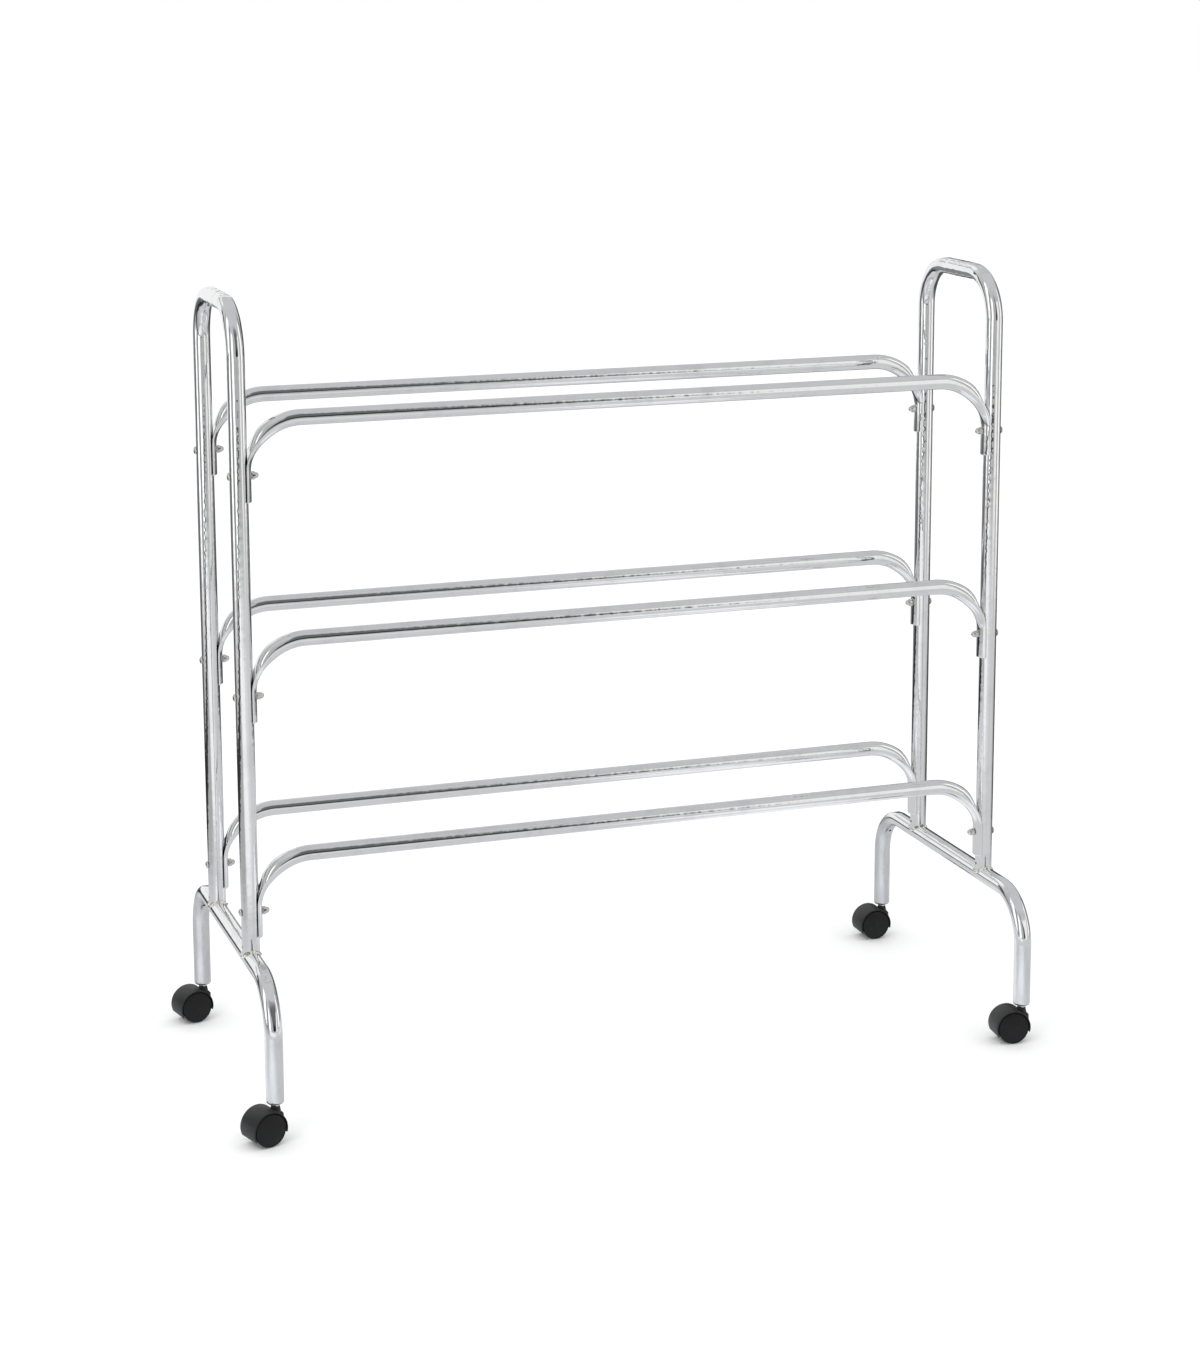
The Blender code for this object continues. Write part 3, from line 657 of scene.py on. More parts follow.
def bent_tube_tree():
    """Sweeps a round tube along a guide, then presses, wrinkles and dents it as bending did."""
    tree, given = new_geometry_tree(
        "bent_tube",
        {
            "Radius": 0.0125,
            "Sides": 64,
            "Crease": 0.00000006,
            "Wrinkle Height": 0.0004,
            "Wrinkle Scale": 70.0,
            "Dent Depth": 0.0003,
            "Dent Scale": 60.0,
            "Seat Rise": 0.0,
            "Seed": 0.0,
        },
    )
    radius = given["Radius"]
    swept = swept_round(tree, given["Geometry"], given["Sides"], radius)
    axis = named_value(tree, "axis", "FLOAT_VECTOR")
    outward = named_value(tree, "outward", "FLOAT_VECTOR")
    place = signal_from(tree, "GeometryNodeInputPosition")
    from_axis = (place - axis).scaled(named_value(tree, "girth"))
    shifted = place + given["Seed"]
    unevenness = shifted.noise(given["Dent Scale"], 1.0)

    level = from_axis.math("DOT_PRODUCT", outward)
    depth = named_value(tree, "pressed") * unevenness.ramp(0.3, 0.7, 0.72, 1.2)
    over = level - (radius - depth)
    softened = over.times_plus(over, given["Crease"]).math("SQRT")
    pressed = outward.scaled((over + softened) * 0.5 * -0.95)

    folds = shifted.noise(given["Wrinkle Scale"], 1.0) * (level / radius).ramp(-0.15, -0.85)
    wrinkled = outward.scaled(folds * named_value(tree, "rippled") * given["Wrinkle Height"])

    dent = unevenness.ramp(0.35, 0.72) * named_value(tree, "dented")
    dented = from_axis.math("NORMALIZE").scaled(dent * -1.0).scaled(given["Dent Depth"])

    across = from_axis.parts()[0]
    saddle = radius.math("POWER", 2.0) - across.math("POWER", 2.0)
    saddle = saddle.math("MAXIMUM", given["Seat Rise"].math("POWER", 2.0)).math("SQRT")
    seated = signal_from(tree, "ShaderNodeCombineXYZ", {"Z": saddle * named_value(tree, "seated")})

    final = axis + from_axis + pressed + wrinkled + dented + seated
    close_tree(tree, move_points(tree, swept, final), given["Finish"])
    return tree


def smooth_step(value, start, end):
    share = min(1.0, max(0.0, (value - start) / (end - start)))
    return share * share * (3 - 2 * share)


class Arch:
    """The middle line of a tube that goes up, over and down again in a plane of one X."""

    def __init__(self, x, front_y, rear_y, base_z, top_z, bend_radius):
        self.x = x
        self.front_y = front_y
        self.rear_y = rear_y
        self.base_z = base_z
        self.top_z = top_z
        self.bend_radius = bend_radius
        self.straight = top_z - bend_radius - base_z
        self.arc = math.pi / 2 * bend_radius
        self.half_run = (rear_y - front_y) / 2 - bend_radius
        self.half_length = self.straight + self.arc + self.half_run

    def share(self, distance):
        """How far round the bend a distance from the end lies: 0 at its start and 1 at its end."""
        return (distance - self.straight) / self.arc

    def stations(self, rim, fine_from, fine_to, fine, coarse):
        """Distances from the end to the middle: close together at the rim and through the bend."""
        distances = [0.0]
        stretches = ((rim, rim / 5), (fine_from, coarse), (fine_to, fine), (self.half_length, coarse))
        for end, step in stretches:
            while distances[-1] < end - 1e-7:
                distances.append(min(distances[-1] + step, end))
        return distances

    def place(self, distance, row):
        """A point this far from the end of the front (row -1) or rear (row 1) leg, and its way outward."""
        if distance < self.straight:
            y, z = 0.0, self.base_z + distance
            out_y, out_z = -1.0, 0.0
        elif distance < self.straight + self.arc:
            angle = (distance - self.straight) / self.bend_radius
            out_y, out_z = -math.cos(angle), math.sin(angle)
            y = self.bend_radius + self.bend_radius * out_y
            z = self.top_z - self.bend_radius + self.bend_radius * out_z
        else:
            y, z = self.bend_radius + distance - self.straight - self.arc, self.top_z
            out_y, out_z = 0.0, 1.0
        y = self.front_y + y if row < 0 else self.rear_y - y
        return Vector((self.x, y, z)), Vector((0.0, out_y * -row, out_z))


UNMARKED = {"girth": 1.0, "pressed": 0.0, "rippled": 0.0, "dented": 0.0, "seated": 0.0, "satin": 0.0}


def arch_guide(name, arch, distances, marks_at):
    """The guide mesh of an arch. marks_at(distance, row) gives what differs from UNMARKED there."""
    stops = [(distance, -1) for distance in distances]
    stops += [(distance, 1) for distance in reversed(distances[:-1])]
    attributes = {key: [] for key in ("axis", "outward", *UNMARKED)}
    for distance, row in stops:
        place, outward = arch.place(distance, row)
        found = {"axis": place, "outward": outward, **UNMARKED, **marks_at(distance, row)}
        for key, values in attributes.items():
            values.append(found[key])
    edges = [(index, index + 1) for index in range(len(stops) - 1)]
    return guide_mesh(name, attributes["axis"], edges, attributes)


def vent_drill(place, diameter, turned_about):
    """A helper drill, along X when it is turned about Y and along Y when it is turned about X."""
    radius = diameter / 2
    drill_length = 0.012
    shape = bmesh.new()
    turn = Matrix.Translation(place) @ Matrix.Rotation(math.pi / 2, 4, turned_about)
    bmesh.ops.create_cone(
        shape, cap_ends=True, segments=32, radius1=radius, radius2=radius, depth=drill_length, matrix=turn
    )
    return helper_from(shape, "vent")


def build_tube(name, node, arch, distances, marks_at, drills, values):
    """One bent tube with its wall and its vents, as a plain shaded piece."""
    tube = bpy.context.scene.rack_tube
    piece = new_piece(name, arch_guide(f"{name}_guide", arch, distances, marks_at))
    shared = {"Radius": tube.diameter / 2, "Dent Depth": tube.dent, "Finish": PAINTS["tube"]}
    add_tree(piece, bent_tube_tree(), {**shared, **values})
    skin = piece.modifiers.new("wall", "SOLIDIFY")
    skin.thickness = tube.wall
    skin.offset = -1.0
    combine(piece, drills, "DIFFERENCE")
    settle(piece)
    remove_objects(*drills)
    shade(piece.data)
    dress(piece, FRAME_BODY, "chromed_tube", node)


class RACK_OT_build_hoops(bpy.types.Operator):
    """Build the two hoops, with flattened bends, a dented top and vents at the foot"""

    bl_idname = "rack.build_hoops"
    bl_label = "Hoops"

    def execute(self, context):
        tube = context.scene.rack_tube
        radius = tube.diameter / 2
        top_flat = {"left": 0.0011, "right": 0.0003}
        vent_rise = 0.005
        for side_name, side in SIDES.items():
            x = frame_x(side_name)
            base_z = foot_z(side_name)
            top_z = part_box(f"{side_name}_hoop")[1].z - tube_half(side_name)
            ends = [upright_y(side_name, row_name) for row_name in ROWS]
            arch = Arch(x, *ends, base_z, top_z, tube.hoop_bend)

            def marks_at(distance, row):
                share = arch.share(distance)
                over = smooth_step(share, 0.90, 1.15)
                bend = smooth_step(share, 0.02, 0.75) ** 1.7 * (1 - smooth_step(share, 0.90, 1.06))
                return {
                    "pressed": tube.bend_flat * bend + top_flat[side_name] * over,
                    "rippled": smooth_step(share, 0.0, 0.3) * (1 - smooth_step(share, 0.8, 1.05)),
                    "dented": smooth_step(share, 0.1, 0.95),
                    "seated": 1.0 if distance == 0.0 else 0.0,
                }

            distances = arch.stations(0.0, arch.straight - 0.10, arch.half_length, 0.0024, 0.03)
            distances = sorted({*distances, tube.diameter})
            drills = []
            for y in ends:
                place = Vector((x - radius, y, base_z + radius + vent_rise))
                drills.append(vent_drill(place, tube.vent, "Y"))
            values = {
                "Sides": 96,
                "Wrinkle Height": tube.wrinkle,
                "Wrinkle Scale": 62.0,
                "Seat Rise": tube.seat_rise,
                "Dent Scale": 48.0,
                "Seed": 3.7 * side + 5.0,
            }
            build_tube(f"hoop_{side_name}", f"{side_name}_hoop", arch, distances, marks_at, drills, values)
        return {"FINISHED"}


class RACK_OT_build_feet(bpy.types.Operator):
    """Build the two foot tubes, which bend down into satin legs with turned-in ends"""

    bl_idname = "rack.build_feet"
    bl_label = "Foot Tubes"

    def execute(self, context):
        tube = context.scene.rack_tube
        rim = 0.0014
        turned_in = rim * 0.55 / (tube.diameter / 2)
        vent_rise = 0.130
        # How far round the bend the dull plating reaches, and how dull it is, on the front and rear legs.
        dulling = {-1: (0.0, 0.60), 1: (0.75, 1.0)}
        for side_name, side in SIDES.items():
            low_z = foot_box(side_name)[0].z
            x = frame_x(side_name)
            ends = [leg_y(side_name, row_name) for row_name in ROWS]
            arch = Arch(x, *ends, low_z, foot_z(side_name), tube.foot_bend)

            def marks_at(distance, row):
                share = arch.share(distance)
                reach, strength = dulling[row]
                rim_share = max(0.0, 1 - distance / rim)
                bend = smooth_step(share, -0.10, 0.60) ** 1.6 * (1 - smooth_step(share, 0.90, 1.12))
                return {
                    "girth": 1.0 - turned_in * (1 - math.sqrt(1 - rim_share**2)),
                    "pressed": tube.foot_flat * bend,
                    "rippled": smooth_step(share, 0.05, 0.3) * (1 - smooth_step(share, 0.75, 1.0)),
                    "dented": 0.25 * smooth_step(share, 0.0, 0.2) * (1 - smooth_step(share, 0.9, 1.1)),
                    "satin": strength * (1 - smooth_step(share, reach - 0.06, reach + 0.12)),
                }

            bend_end = arch.straight + arch.arc
            distances = arch.stations(rim, arch.straight - 0.03, bend_end + 0.02, 0.0028, 0.04)
            inner_r = tube.foot_bend - tube.diameter / 2
            vent_z = low_z + vent_rise
            climb = (vent_z - (foot_z(side_name) - tube.foot_bend)) / inner_r
            vent_y = ends[1] - tube.foot_bend + inner_r * math.sqrt(1 - climb**2)
            drill = vent_drill(Vector((x, vent_y, vent_z)), tube.vent, "X")
            values = {
                "Sides": 64,
                "Wrinkle Height": tube.wrinkle * 0.8,
                "Wrinkle Scale": 60.0,
                "Dent Scale": 50.0,
                "Seed": 2.3 * side + 9.0,
            }
            node = f"{side_name}_foot_tube"
            build_tube(f"foot_{side_name}", node, arch, distances, marks_at, [drill], values)
        return {"FINISHED"}


# Welds


def weld_tree():
    """Sweeps a bead along each closed guide and swells it into overlapping lumps."""
    inputs = {"Bead Radius": 0.0024, "Lumps": 9, "Roughness": 0.0034, "Seed": 4.0}
    tree, given = new_geometry_tree("weld_bead", inputs)
    swept = swept_round(tree, given["Geometry"], 18, given["Bead Radius"])
    axis = named_value(tree, "axis", "FLOAT_VECTOR")
    place = signal_from(tree, "GeometryNodeInputPosition")
    from_axis = place - axis
    wander = (place + given["Seed"]).noise(150.0, 2.0, 0.55)
    along = wander.times_plus(1.6, named_value(tree, "round") * given["Lumps"]).math("FRACT")
    lump = (along * (1.0 - along)).math("SQRT")
    grown = from_axis.scaled(lump.times_plus(0.95, 0.50))
    uneven = from_axis.math("NORMALIZE").scaled((wander - 0.5) * given["Roughness"])
    close_tree(tree, move_points(tree, swept, axis + (grown + uneven)), given["Finish"])
    return tree


class RACK_OT_build_welds(bpy.types.Operator):
    """Build the weld bead round the foot of each upright"""

    bl_idname = "rack.build_welds"
    bl_label = "Welds"

    def execute(self, context):
        tube = context.scene.rack_tube
        radius = tube.diameter / 2
        bead_gap = 0.0002
        out = radius + bead_gap
        steps = 240
        points = []
        edges = []
        rounds = []
        for side_name, row_name in UPRIGHTS:
            first = len(points)
            seat = Vector((frame_x(side_name), upright_y(side_name, row_name), foot_z(side_name)))
            for step in range(steps):
                share = step / steps
                angle = 2 * math.pi * share
                rise = ((radius * math.sin(angle)) ** 4 + tube.seat_rise**4) ** 0.25
                points.append(seat + Vector((out * math.cos(angle), out * math.sin(angle), rise)))
                edges.append((first + step, first + (step + 1) % steps))
                rounds.append(share)
        guide = guide_mesh("weld_guide", points, edges, {"axis": points, "round": rounds})
        piece = new_piece("saddle_welds", guide)
        values = {"Bead Radius": tube.weld_bead, "Lumps": tube.weld_lumps, "Finish": PAINTS["weld"]}
        add_tree(piece, weld_tree(), values)
        settle(piece)
        piece.data.shade_smooth()
        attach(piece, FRAME_BODY)
        return {"FINISHED"}


# Rails

# How far the inner side of a crushed end stays off the upright.
SEAT_GAP = 0.0005


def crescent_section(rail, seat_r, axis_x, centre, outward_side, crush, inset, taken_off):
    """One section of a rail's right half: a circle that crushes into a crescent round the upright.

    The rail lies in the plane y = 0 and the upright's axis is at x = axis_x. crush runs from 0 to 1. inset is
    0 on the outer skin and the wall on the inner one. taken_off thins the crescent on the nut's side.
    """
    radius = rail.diameter / 2 - inset
    half_layer = rail.crushed / 2 - inset
    middle_r = seat_r + rail.crushed / 2
    girth = math.pi * (rail.diameter - rail.wall)
    half_angle = (girth - 2 * rail.crushed) / (4 * middle_r) - inset / middle_r
    tube_r = seat_r - SEAT_GAP
    edge_power = 0.3
    sides = 56
    section = []
    for side in range(sides):
        turn = 2 * math.pi * side / sides
        level = math.cos(turn)
        layer = math.copysign(abs(level) ** edge_power, level)
        wrap = half_angle * math.asin(math.sin(turn)) / (math.pi / 2)
        thickness = half_layer - (taken_off if layer < 0 else 0.0)
        crescent_r = middle_r - thickness * layer
        outward = (1 - crush) * radius * level + crush * (tube_r - crescent_r * math.cos(wrap))
        across = (1 - crush) * radius * math.sin(turn) + crush * crescent_r * math.sin(wrap)
        place = centre + outward * outward_side
        from_axis = Vector((place.x - axis_x, across))
        if from_axis.length < seat_r + inset:
            from_axis = from_axis.normalized() * (seat_r + inset)
        section.append(Vector((from_axis.x + axis_x, from_axis.y, place.z)))
    return section


def rail_half(rail, pitch, over_bolt, below_bolt, seat_r, nut_corner_r, inset):
    """The sections from the rail's middle to its right end, with the level run's middle line at z = 0."""
    axis_x = pitch / 2
    leg_x = axis_x - (seat_r - SEAT_GAP)
    drop_all = over_bolt - nut_corner_r - rail.nut_land
    crush_from = math.radians(35.0)
    steps = 40
    sections = []

    def add_section(x, z, outward_side, crush, taken_off=0.0):
        centre = Vector((x, 0, z))
        section = crescent_section(rail, seat_r, axis_x, centre, outward_side, crush, inset, taken_off)
        sections.append(section)

    for run_share in (0.0, 0.5, 0.96):
        add_section(run_share * (leg_x - rail.bend_run), 0, Vector((0, 0, 1)), 0.0)
    for step in range(steps + 1):
        angle = math.pi / 2 * step / steps
        across, along = math.sin(angle), math.cos(angle)
        outward_side = Vector((drop_all * across, 0, rail.bend_run * along)).normalized()
        crush = smooth_step(angle, crush_from, math.pi / 2)
        add_section(leg_x - rail.bend_run * (1 - across), -drop_all * (1 - along), outward_side, crush)
    end_z = -over_bolt - below_bolt
    corner = rail.end_round
    corner_h = 1.25 * corner
    for share in (1.0, 0.75, 0.5, 0.25, 0.0):
        taken_off = corner * (1 - math.sqrt(1 - (1 - share) ** 2))
        add_section(leg_x, end_z + corner_h * share, Vector((1, 0, 0)), 1.0, taken_off)
    return sections


def rail_mesh(rail, *half_sizes):
    """A whole rail about its middle, hollow, with both crushed ends."""
    shape = bmesh.new()
    skins = []
    for inset in (0.0, rail.wall):
        half = rail_half(rail, *half_sizes, inset)
        whole = [[Vector((-at.x, at.y, at.z)) for at in section] for section in reversed(half[1:])] + half
        skins.append([[shape.verts.new(at) for at in section] for section in whole])
    for skin in skins:
        join_rings(shape, skin)
    for end in (0, -1):
        join_rings(shape, [skins[0][end], skins[1][end]])
    return finished_mesh(shape, "rail", PAINTS["rail"], math.radians(40.0))


class RACK_OT_build_rails(bpy.types.Operator):
    """Build the six rails, each bent down at its ends and crushed into a crescent round the upright"""

    bl_idname = "rack.build_rails"
    bl_label = "Rails"

    def execute(self, context):
        rail = context.scene.rack_rail
        pitch = frame_x("right") - frame_x("left")
        middle_x = (frame_x("right") + frame_x("left")) / 2
        lowest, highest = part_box("front_bottom_rail")
        over_bolt = highest.z - rail.diameter / 2 - bolt_z("bottom")
        below_bolt = bolt_z("bottom") - lowest.z
        seat_r = tube_half("left") + SEAT_GAP
        nut_corner_r = context.scene.rack_fastener.nut_flats / math.sqrt(3)
        pattern = rail_mesh(rail, pitch, over_bolt, below_bolt, seat_r, nut_corner_r)
        for row_name in ROWS:
            for level_name in LEVELS:
                y, z = upright_y("left", row_name), bolt_z(level_name) + over_bolt
                place = Matrix.Translation((middle_x, y, z))
                name, node = f"rail_{row_name}_{level_name}", f"{row_name}_{level_name}_rail"
                place_copy(pattern, name, place, FRAME_BODY, "chromed_rail", node)
        bpy.data.meshes.remove(pattern)
        return {"FINISHED"}


# Bolts and cap nuts


def instances(tree, points, source, rotation):
    """The source object's shape on each point."""
    pattern = signal_from(tree, "GeometryNodeObjectInfo", {"Object": source}, "Geometry")
    values = {"Points": points, "Instance": pattern, "Rotation": rotation}
    return signal_from(tree, "GeometryNodeInstanceOnPoints", values)


def turn_about_z(tree, angle):
    return signal_from(tree, "FunctionNodeAxisAngleToRotation", {"Axis": (0.0, 0.0, 1.0), "Angle": angle})


def fastener_tree(name):
    """Sets one fastener on each guide point, turned to face as the point says and spun at random."""
    tree, given = new_geometry_tree(name, {"Fastener": "Object", "Seed": 0, "Most Spin": math.tau})
    facing = named_value(tree, "facing", "FLOAT_VECTOR")
    turn = signal_from(tree, "FunctionNodeEulerToRotation", {0: facing})
    # Inputs 2 and 3 of a Random Value node are the least and the most of a plain number, output 1 the number.
    limits = {2: 0.0, 3: given["Most Spin"], "Seed": given["Seed"]}
    spin = signal_from(tree, "FunctionNodeRandomValue", limits, 1, data_type="FLOAT")
    rotation_values = {"Rotation": turn, "Rotate By": turn_about_z(tree, spin)}
    both = signal_from(tree, "FunctionNodeRotateRotation", rotation_values, rotation_space="LOCAL")
    placed = instances(tree, given["Geometry"], given["Fastener"], both)
    close_tree(tree, placed, given["Finish"])
    return tree


def place_fasteners(name, node_stem, shape, seat_at, seed, finish, slot):
    """Sets the twelve fasteners of one kind. seat_at(ends, side) gives a seat's X and which way it faces."""
    points = []
    facings = []
    nodes = []
    for side_name, row_name in UPRIGHTS:
        for level_name in LEVELS:
            node = f"{node_stem}_{side_name}_{row_name}_{level_name}"
            x, faces = seat_at(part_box(node), SIDES[side_name])
            points.append(Vector((x, middle(node).y, middle(node).z)))
            facings.append(Vector((0.0, faces * math.pi / 2, 0.0)))
            nodes.append(node)
    pattern = new_piece(f"{name}_pattern", finished_mesh(shape, node_stem, finish))
    piece = new_piece(name, guide_mesh(f"{name}_guide", points, [], {"facing": facings}))
    add_tree(piece, fastener_tree(f"place_{name}"), {"Fastener": pattern, "Seed": seed, "Finish": finish})
    settle(piece)
    remove_objects(pattern)
    shade(piece.data)
    dress(piece, FRAME_BODY, slot, *nodes)


class RACK_OT_build_bolts(bpy.types.Operator):
    """Build the twelve round-headed bolts"""

    bl_idname = "rack.build_bolts"
    bl_label = "Bolts"

    def execute(self, context):
        fastener = context.scene.rack_fastener
        lowest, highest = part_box("bolt_left_front_bottom")
        head_h = 0.0032
        head_rim = 0.0006
        shank_r = 0.0029
        chamfer = 0.0004
        shank_end = lowest.x + head_h - highest.x
        head_r = fastener.head_diameter / 2
        steps = 12
        profile = [Vector((0.0, head_h))]
        for step in range(1, steps + 1):
            angle = math.pi / 2 * step / steps
            height = head_rim + (head_h - head_rim) * math.cos(angle)
            profile.append(Vector((head_r * math.sin(angle), height)))
        profile += rounded(
            [
                (head_r, head_rim, 0.0),
                (head_r, 0.0, 0.0002),
                (shank_r, 0.0, 0.0),
                (shank_r, shank_end + chamfer, 0.0),
                (shank_r - chamfer, shank_end, 0.0),
                (0.0, shank_end, 0.0),
            ]
        )[1:]

        def seat_at(ends, side):
            return (ends[0].x + head_h if side < 0 else ends[1].x - head_h), side

        shape = lathe(profile, 40)
        place_fasteners("bolts", "bolt", shape, seat_at, fastener.spin_seed, PAINTS["bolt"], "zinc_bolt")
        return {"FINISHED"}


class RACK_OT_build_cap_nuts(bpy.types.Operator):
    """Build the twelve cap nuts: a chamfered hexagon with a dome"""

    bl_idname = "rack.build_cap_nuts"
    bl_label = "Cap Nuts"

    def execute(self, context):
        fastener = context.scene.rack_fastener
        flats_r = fastener.nut_flats / 2
        corner_r = flats_r * 2 / math.sqrt(3)
        hex_h = 0.0048
        dome_r = 0.0044
        dome_h = 0.0052
        dome_foot = 0.0003

        def hexagon(limit, angle):
            if limit <= dome_r + 1e-6:
                return limit
            nearest = (angle % (math.pi / 3)) - math.pi / 6
            return min(limit, flats_r / math.cos(nearest))

        profile = [
            (0.0, 0.0),
            (0.0031, 0.0),
            (flats_r * 0.99, 0.0),
            (corner_r, 0.0004),
            (corner_r, hex_h - 0.0007),
            (flats_r * 1.02, hex_h - 0.0001),
            (flats_r * 0.96, hex_h),
            (dome_r, hex_h + 0.0001),
        ]
        steps = 14
        for step in range(1, steps):
            angle = math.pi / 2 * step / steps
            height = hex_h + dome_foot + (dome_h - dome_foot) * math.sin(angle)
            profile.append((dome_r * math.cos(angle) ** 0.86, height))
        profile.append((0.0, hex_h + dome_h))

        def seat_at(ends, side):
            return (ends[0].x if side < 0 else ends[1].x), -side

        shape = lathe(profile, 72, hexagon)
        seed = fastener.spin_seed + 4
        place_fasteners("cap_nuts", "cap_nut", shape, seat_at, seed, PAINTS["nut"], "plated_cap_nut")
        return {"FINISHED"}


# Casters


def hood_angles(caster, steps):
    """Angles about the axle along the hood, from the stem's side to the trailing side."""
    first = -caster.hood_front_drop
    last = math.pi + caster.hood_back_drop
    return [first + (last - first) * step / steps for step in range(steps + 1)]


def hood_drum(caster, trail, width):
    """The drum over both wheels."""
    shell = 0.0017
    outer = caster.hood_radius
    inner = outer - shell
    half = width / 2
    corners = [(outer, -half, 0.0010), (outer, half, 0.0010), (inner, half, 0.0004), (inner, -half, 0.0004)]
    section = rounded([corners[-1], *corners, corners[0]])[1:-1]
    outlines = []
    for angle in hood_angles(caster, 88):
        x, z = math.cos(angle), math.sin(angle)
        outlines.append([(radius * x, across, radius * z) for radius, across in section])
    shape = closed_loft(outlines)
    bmesh.ops.translate(shape, verts=shape.verts, vec=(-trail, 0, 0))
    return shape


def hood_core(caster, trail, thickness):
    """The solid core between the wheels, which reaches from the drum down round the axle's hub."""
    sunk = 0.0008
    hub_r = 0.010
    hub_first = 230.0
    hub_arc = 80.0
    steps = 16
    corners = [(caster.hood_radius - sunk, angle) for angle in hood_angles(caster, 72)]
    corners += [(hub_r, math.radians(hub_first + hub_arc * step / steps)) for step in range(steps + 1)]
    outline = [(radius * math.cos(angle) - trail, radius * math.sin(angle)) for radius, angle in corners]
    return closed_loft([[(x, across, z) for x, z in outline] for across in (-thickness / 2, thickness / 2)])


def hood_boss(boss_h):
    """The boss that the stem goes into, flared where it grows out of the drum, with two faint rings."""
    bore_r = 0.0046
    profile = rounded(
        [
            (0.0, 0.004, 0.0),
            (0.0118, 0.004, 0.0),
            (0.0112, 0.0142, 0.0),
            (0.00775, 0.0178, 0.003),
            (0.00735, 0.0202, 0.0),
            (0.00715, 0.0205, 0.0001),
            (0.00700, 0.0223, 0.0),
            (0.00682, 0.0226, 0.0001),
            (0.00625, boss_h, 0.0006),
            (bore_r, boss_h, 0.0),
            (bore_r, 0.006, 0.0),
            (0.0, 0.006, 0.0),
        ]
    )
    return lathe(profile, 64)


def hood_mesh(caster, trail, core, width, boss_h):
    """One hood about its stem's axis, with the axle at x = -trail and z = 0."""
    hood = helper_from(hood_drum(caster, trail, width), "hood_pattern")
    helpers = [helper_from(hood_core(caster, trail, core), "core"), helper_from(hood_boss(boss_h), "boss")]
    combine(hood, helpers, "UNION")
    edge = hood.modifiers.new("edge", "BEVEL")
    edge.width = 0.00045
    edge.segments = 3
    edge.limit_method = "ANGLE"
    edge.angle_limit = math.radians(42.0)
    edge.use_clamp_overlap = True
    mesh = plain_mesh(hood, "hood")
    remove_objects(hood, *helpers)
    mesh.materials.clear()
    mesh.materials.append(PAINTS["hood"])
    shade(mesh, math.radians(35.0))
    return mesh


class RACK_OT_build_hoods(bpy.types.Operator):
    """Build the four caster hoods, each a drum over both wheels with a boss for the stem"""

    bl_idname = "rack.build_hoods"
    bl_label = "Caster Hoods"

    def execute(self, context):
        core = 0.0118
        width = 0.0394
        most_boss_h = 0.0258
        stem = stem_place("front_left")
        axle = middle("front_left_caster_axle")
        trail = math.hypot(stem.x - axle.x, stem.y - axle.y)
        boss_h = min(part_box("front_left_caster_hood")[1].z - axle.z, most_boss_h)
        pattern = hood_mesh(context.scene.rack_caster, trail, core, width, boss_h)
        for corner in CORNERS:
            place = Matrix.Translation(stem_place(corner)) @ caster_turn(corner)
            body, node = f"{corner}_swivel", f"{corner}_caster_hood"
            place_copy(pattern, f"hood_{corner}", place, body, "black_nylon_hood", node)
        bpy.data.meshes.remove(pattern)
        return {"FINISHED"}


def wheel_shape(caster, width):
    """One wheel about Z: its open inner side at z = 0, its closed face, with a shallow step, at the top."""
    tread = caster.wheel_radius
    face_r = tread - 0.0021
    inside_r = tread - 0.0035
    web_z = width - 0.003
    hub_r = 0.006
    bore_r = 0.0036
    bore_end = 0.0101
    profile = rounded(
        [
            (0.0, width - 0.00035, 0.0),
            (face_r - 0.0006, width - 0.00035, 0.0),
            (face_r - 0.0001, width - 0.0006, 0.0002),
            (face_r + 0.0004, width - 0.0001, 0.0002),
            (tread - 0.0009, width - 0.0001, 0.0008),
            (tread, width - 0.0016, 0.0012),
            (tread, 0.0, 0.0006),
            (inside_r, 0.0, 0.0003),
            (inside_r, web_z, 0.0008),
            (hub_r, web_z, 0.0008),
            (hub_r, 0.0002, 0.0003),
            (bore_r, 0.0002, 0.0),
            (bore_r, bore_end, 0.0),
            (0.0, bore_end, 0.0),
        ]
    )
    return lathe(profile, 96)


def rib_tree():
    """Repeats one rib round the wheel's middle and keeps the wheel itself."""
    tree, given = new_geometry_tree("wheel_ribs", {"Rib": "Object", "Count": 8})
    ring = signal_from(tree, "GeometryNodeMeshCircle", {"Vertices": given["Count"], "Radius": 0.001})
    index = signal_from(tree, "GeometryNodeInputIndex")
    turn = turn_about_z(tree, index / given["Count"] * math.tau)
    centred = move_points(tree, ring, (0.0, 0.0, 0.0))
    ribs = instances(tree, centred, given["Rib"], turn)
    joined = add_node(tree, "GeometryNodeJoinGeometry")
    for shape in (ribs, given["Geometry"]):
        tree.links.new(shape.socket, joined.inputs[0])
    close_tree(tree, Signal(joined.outputs[0]), given["Finish"])
    return tree


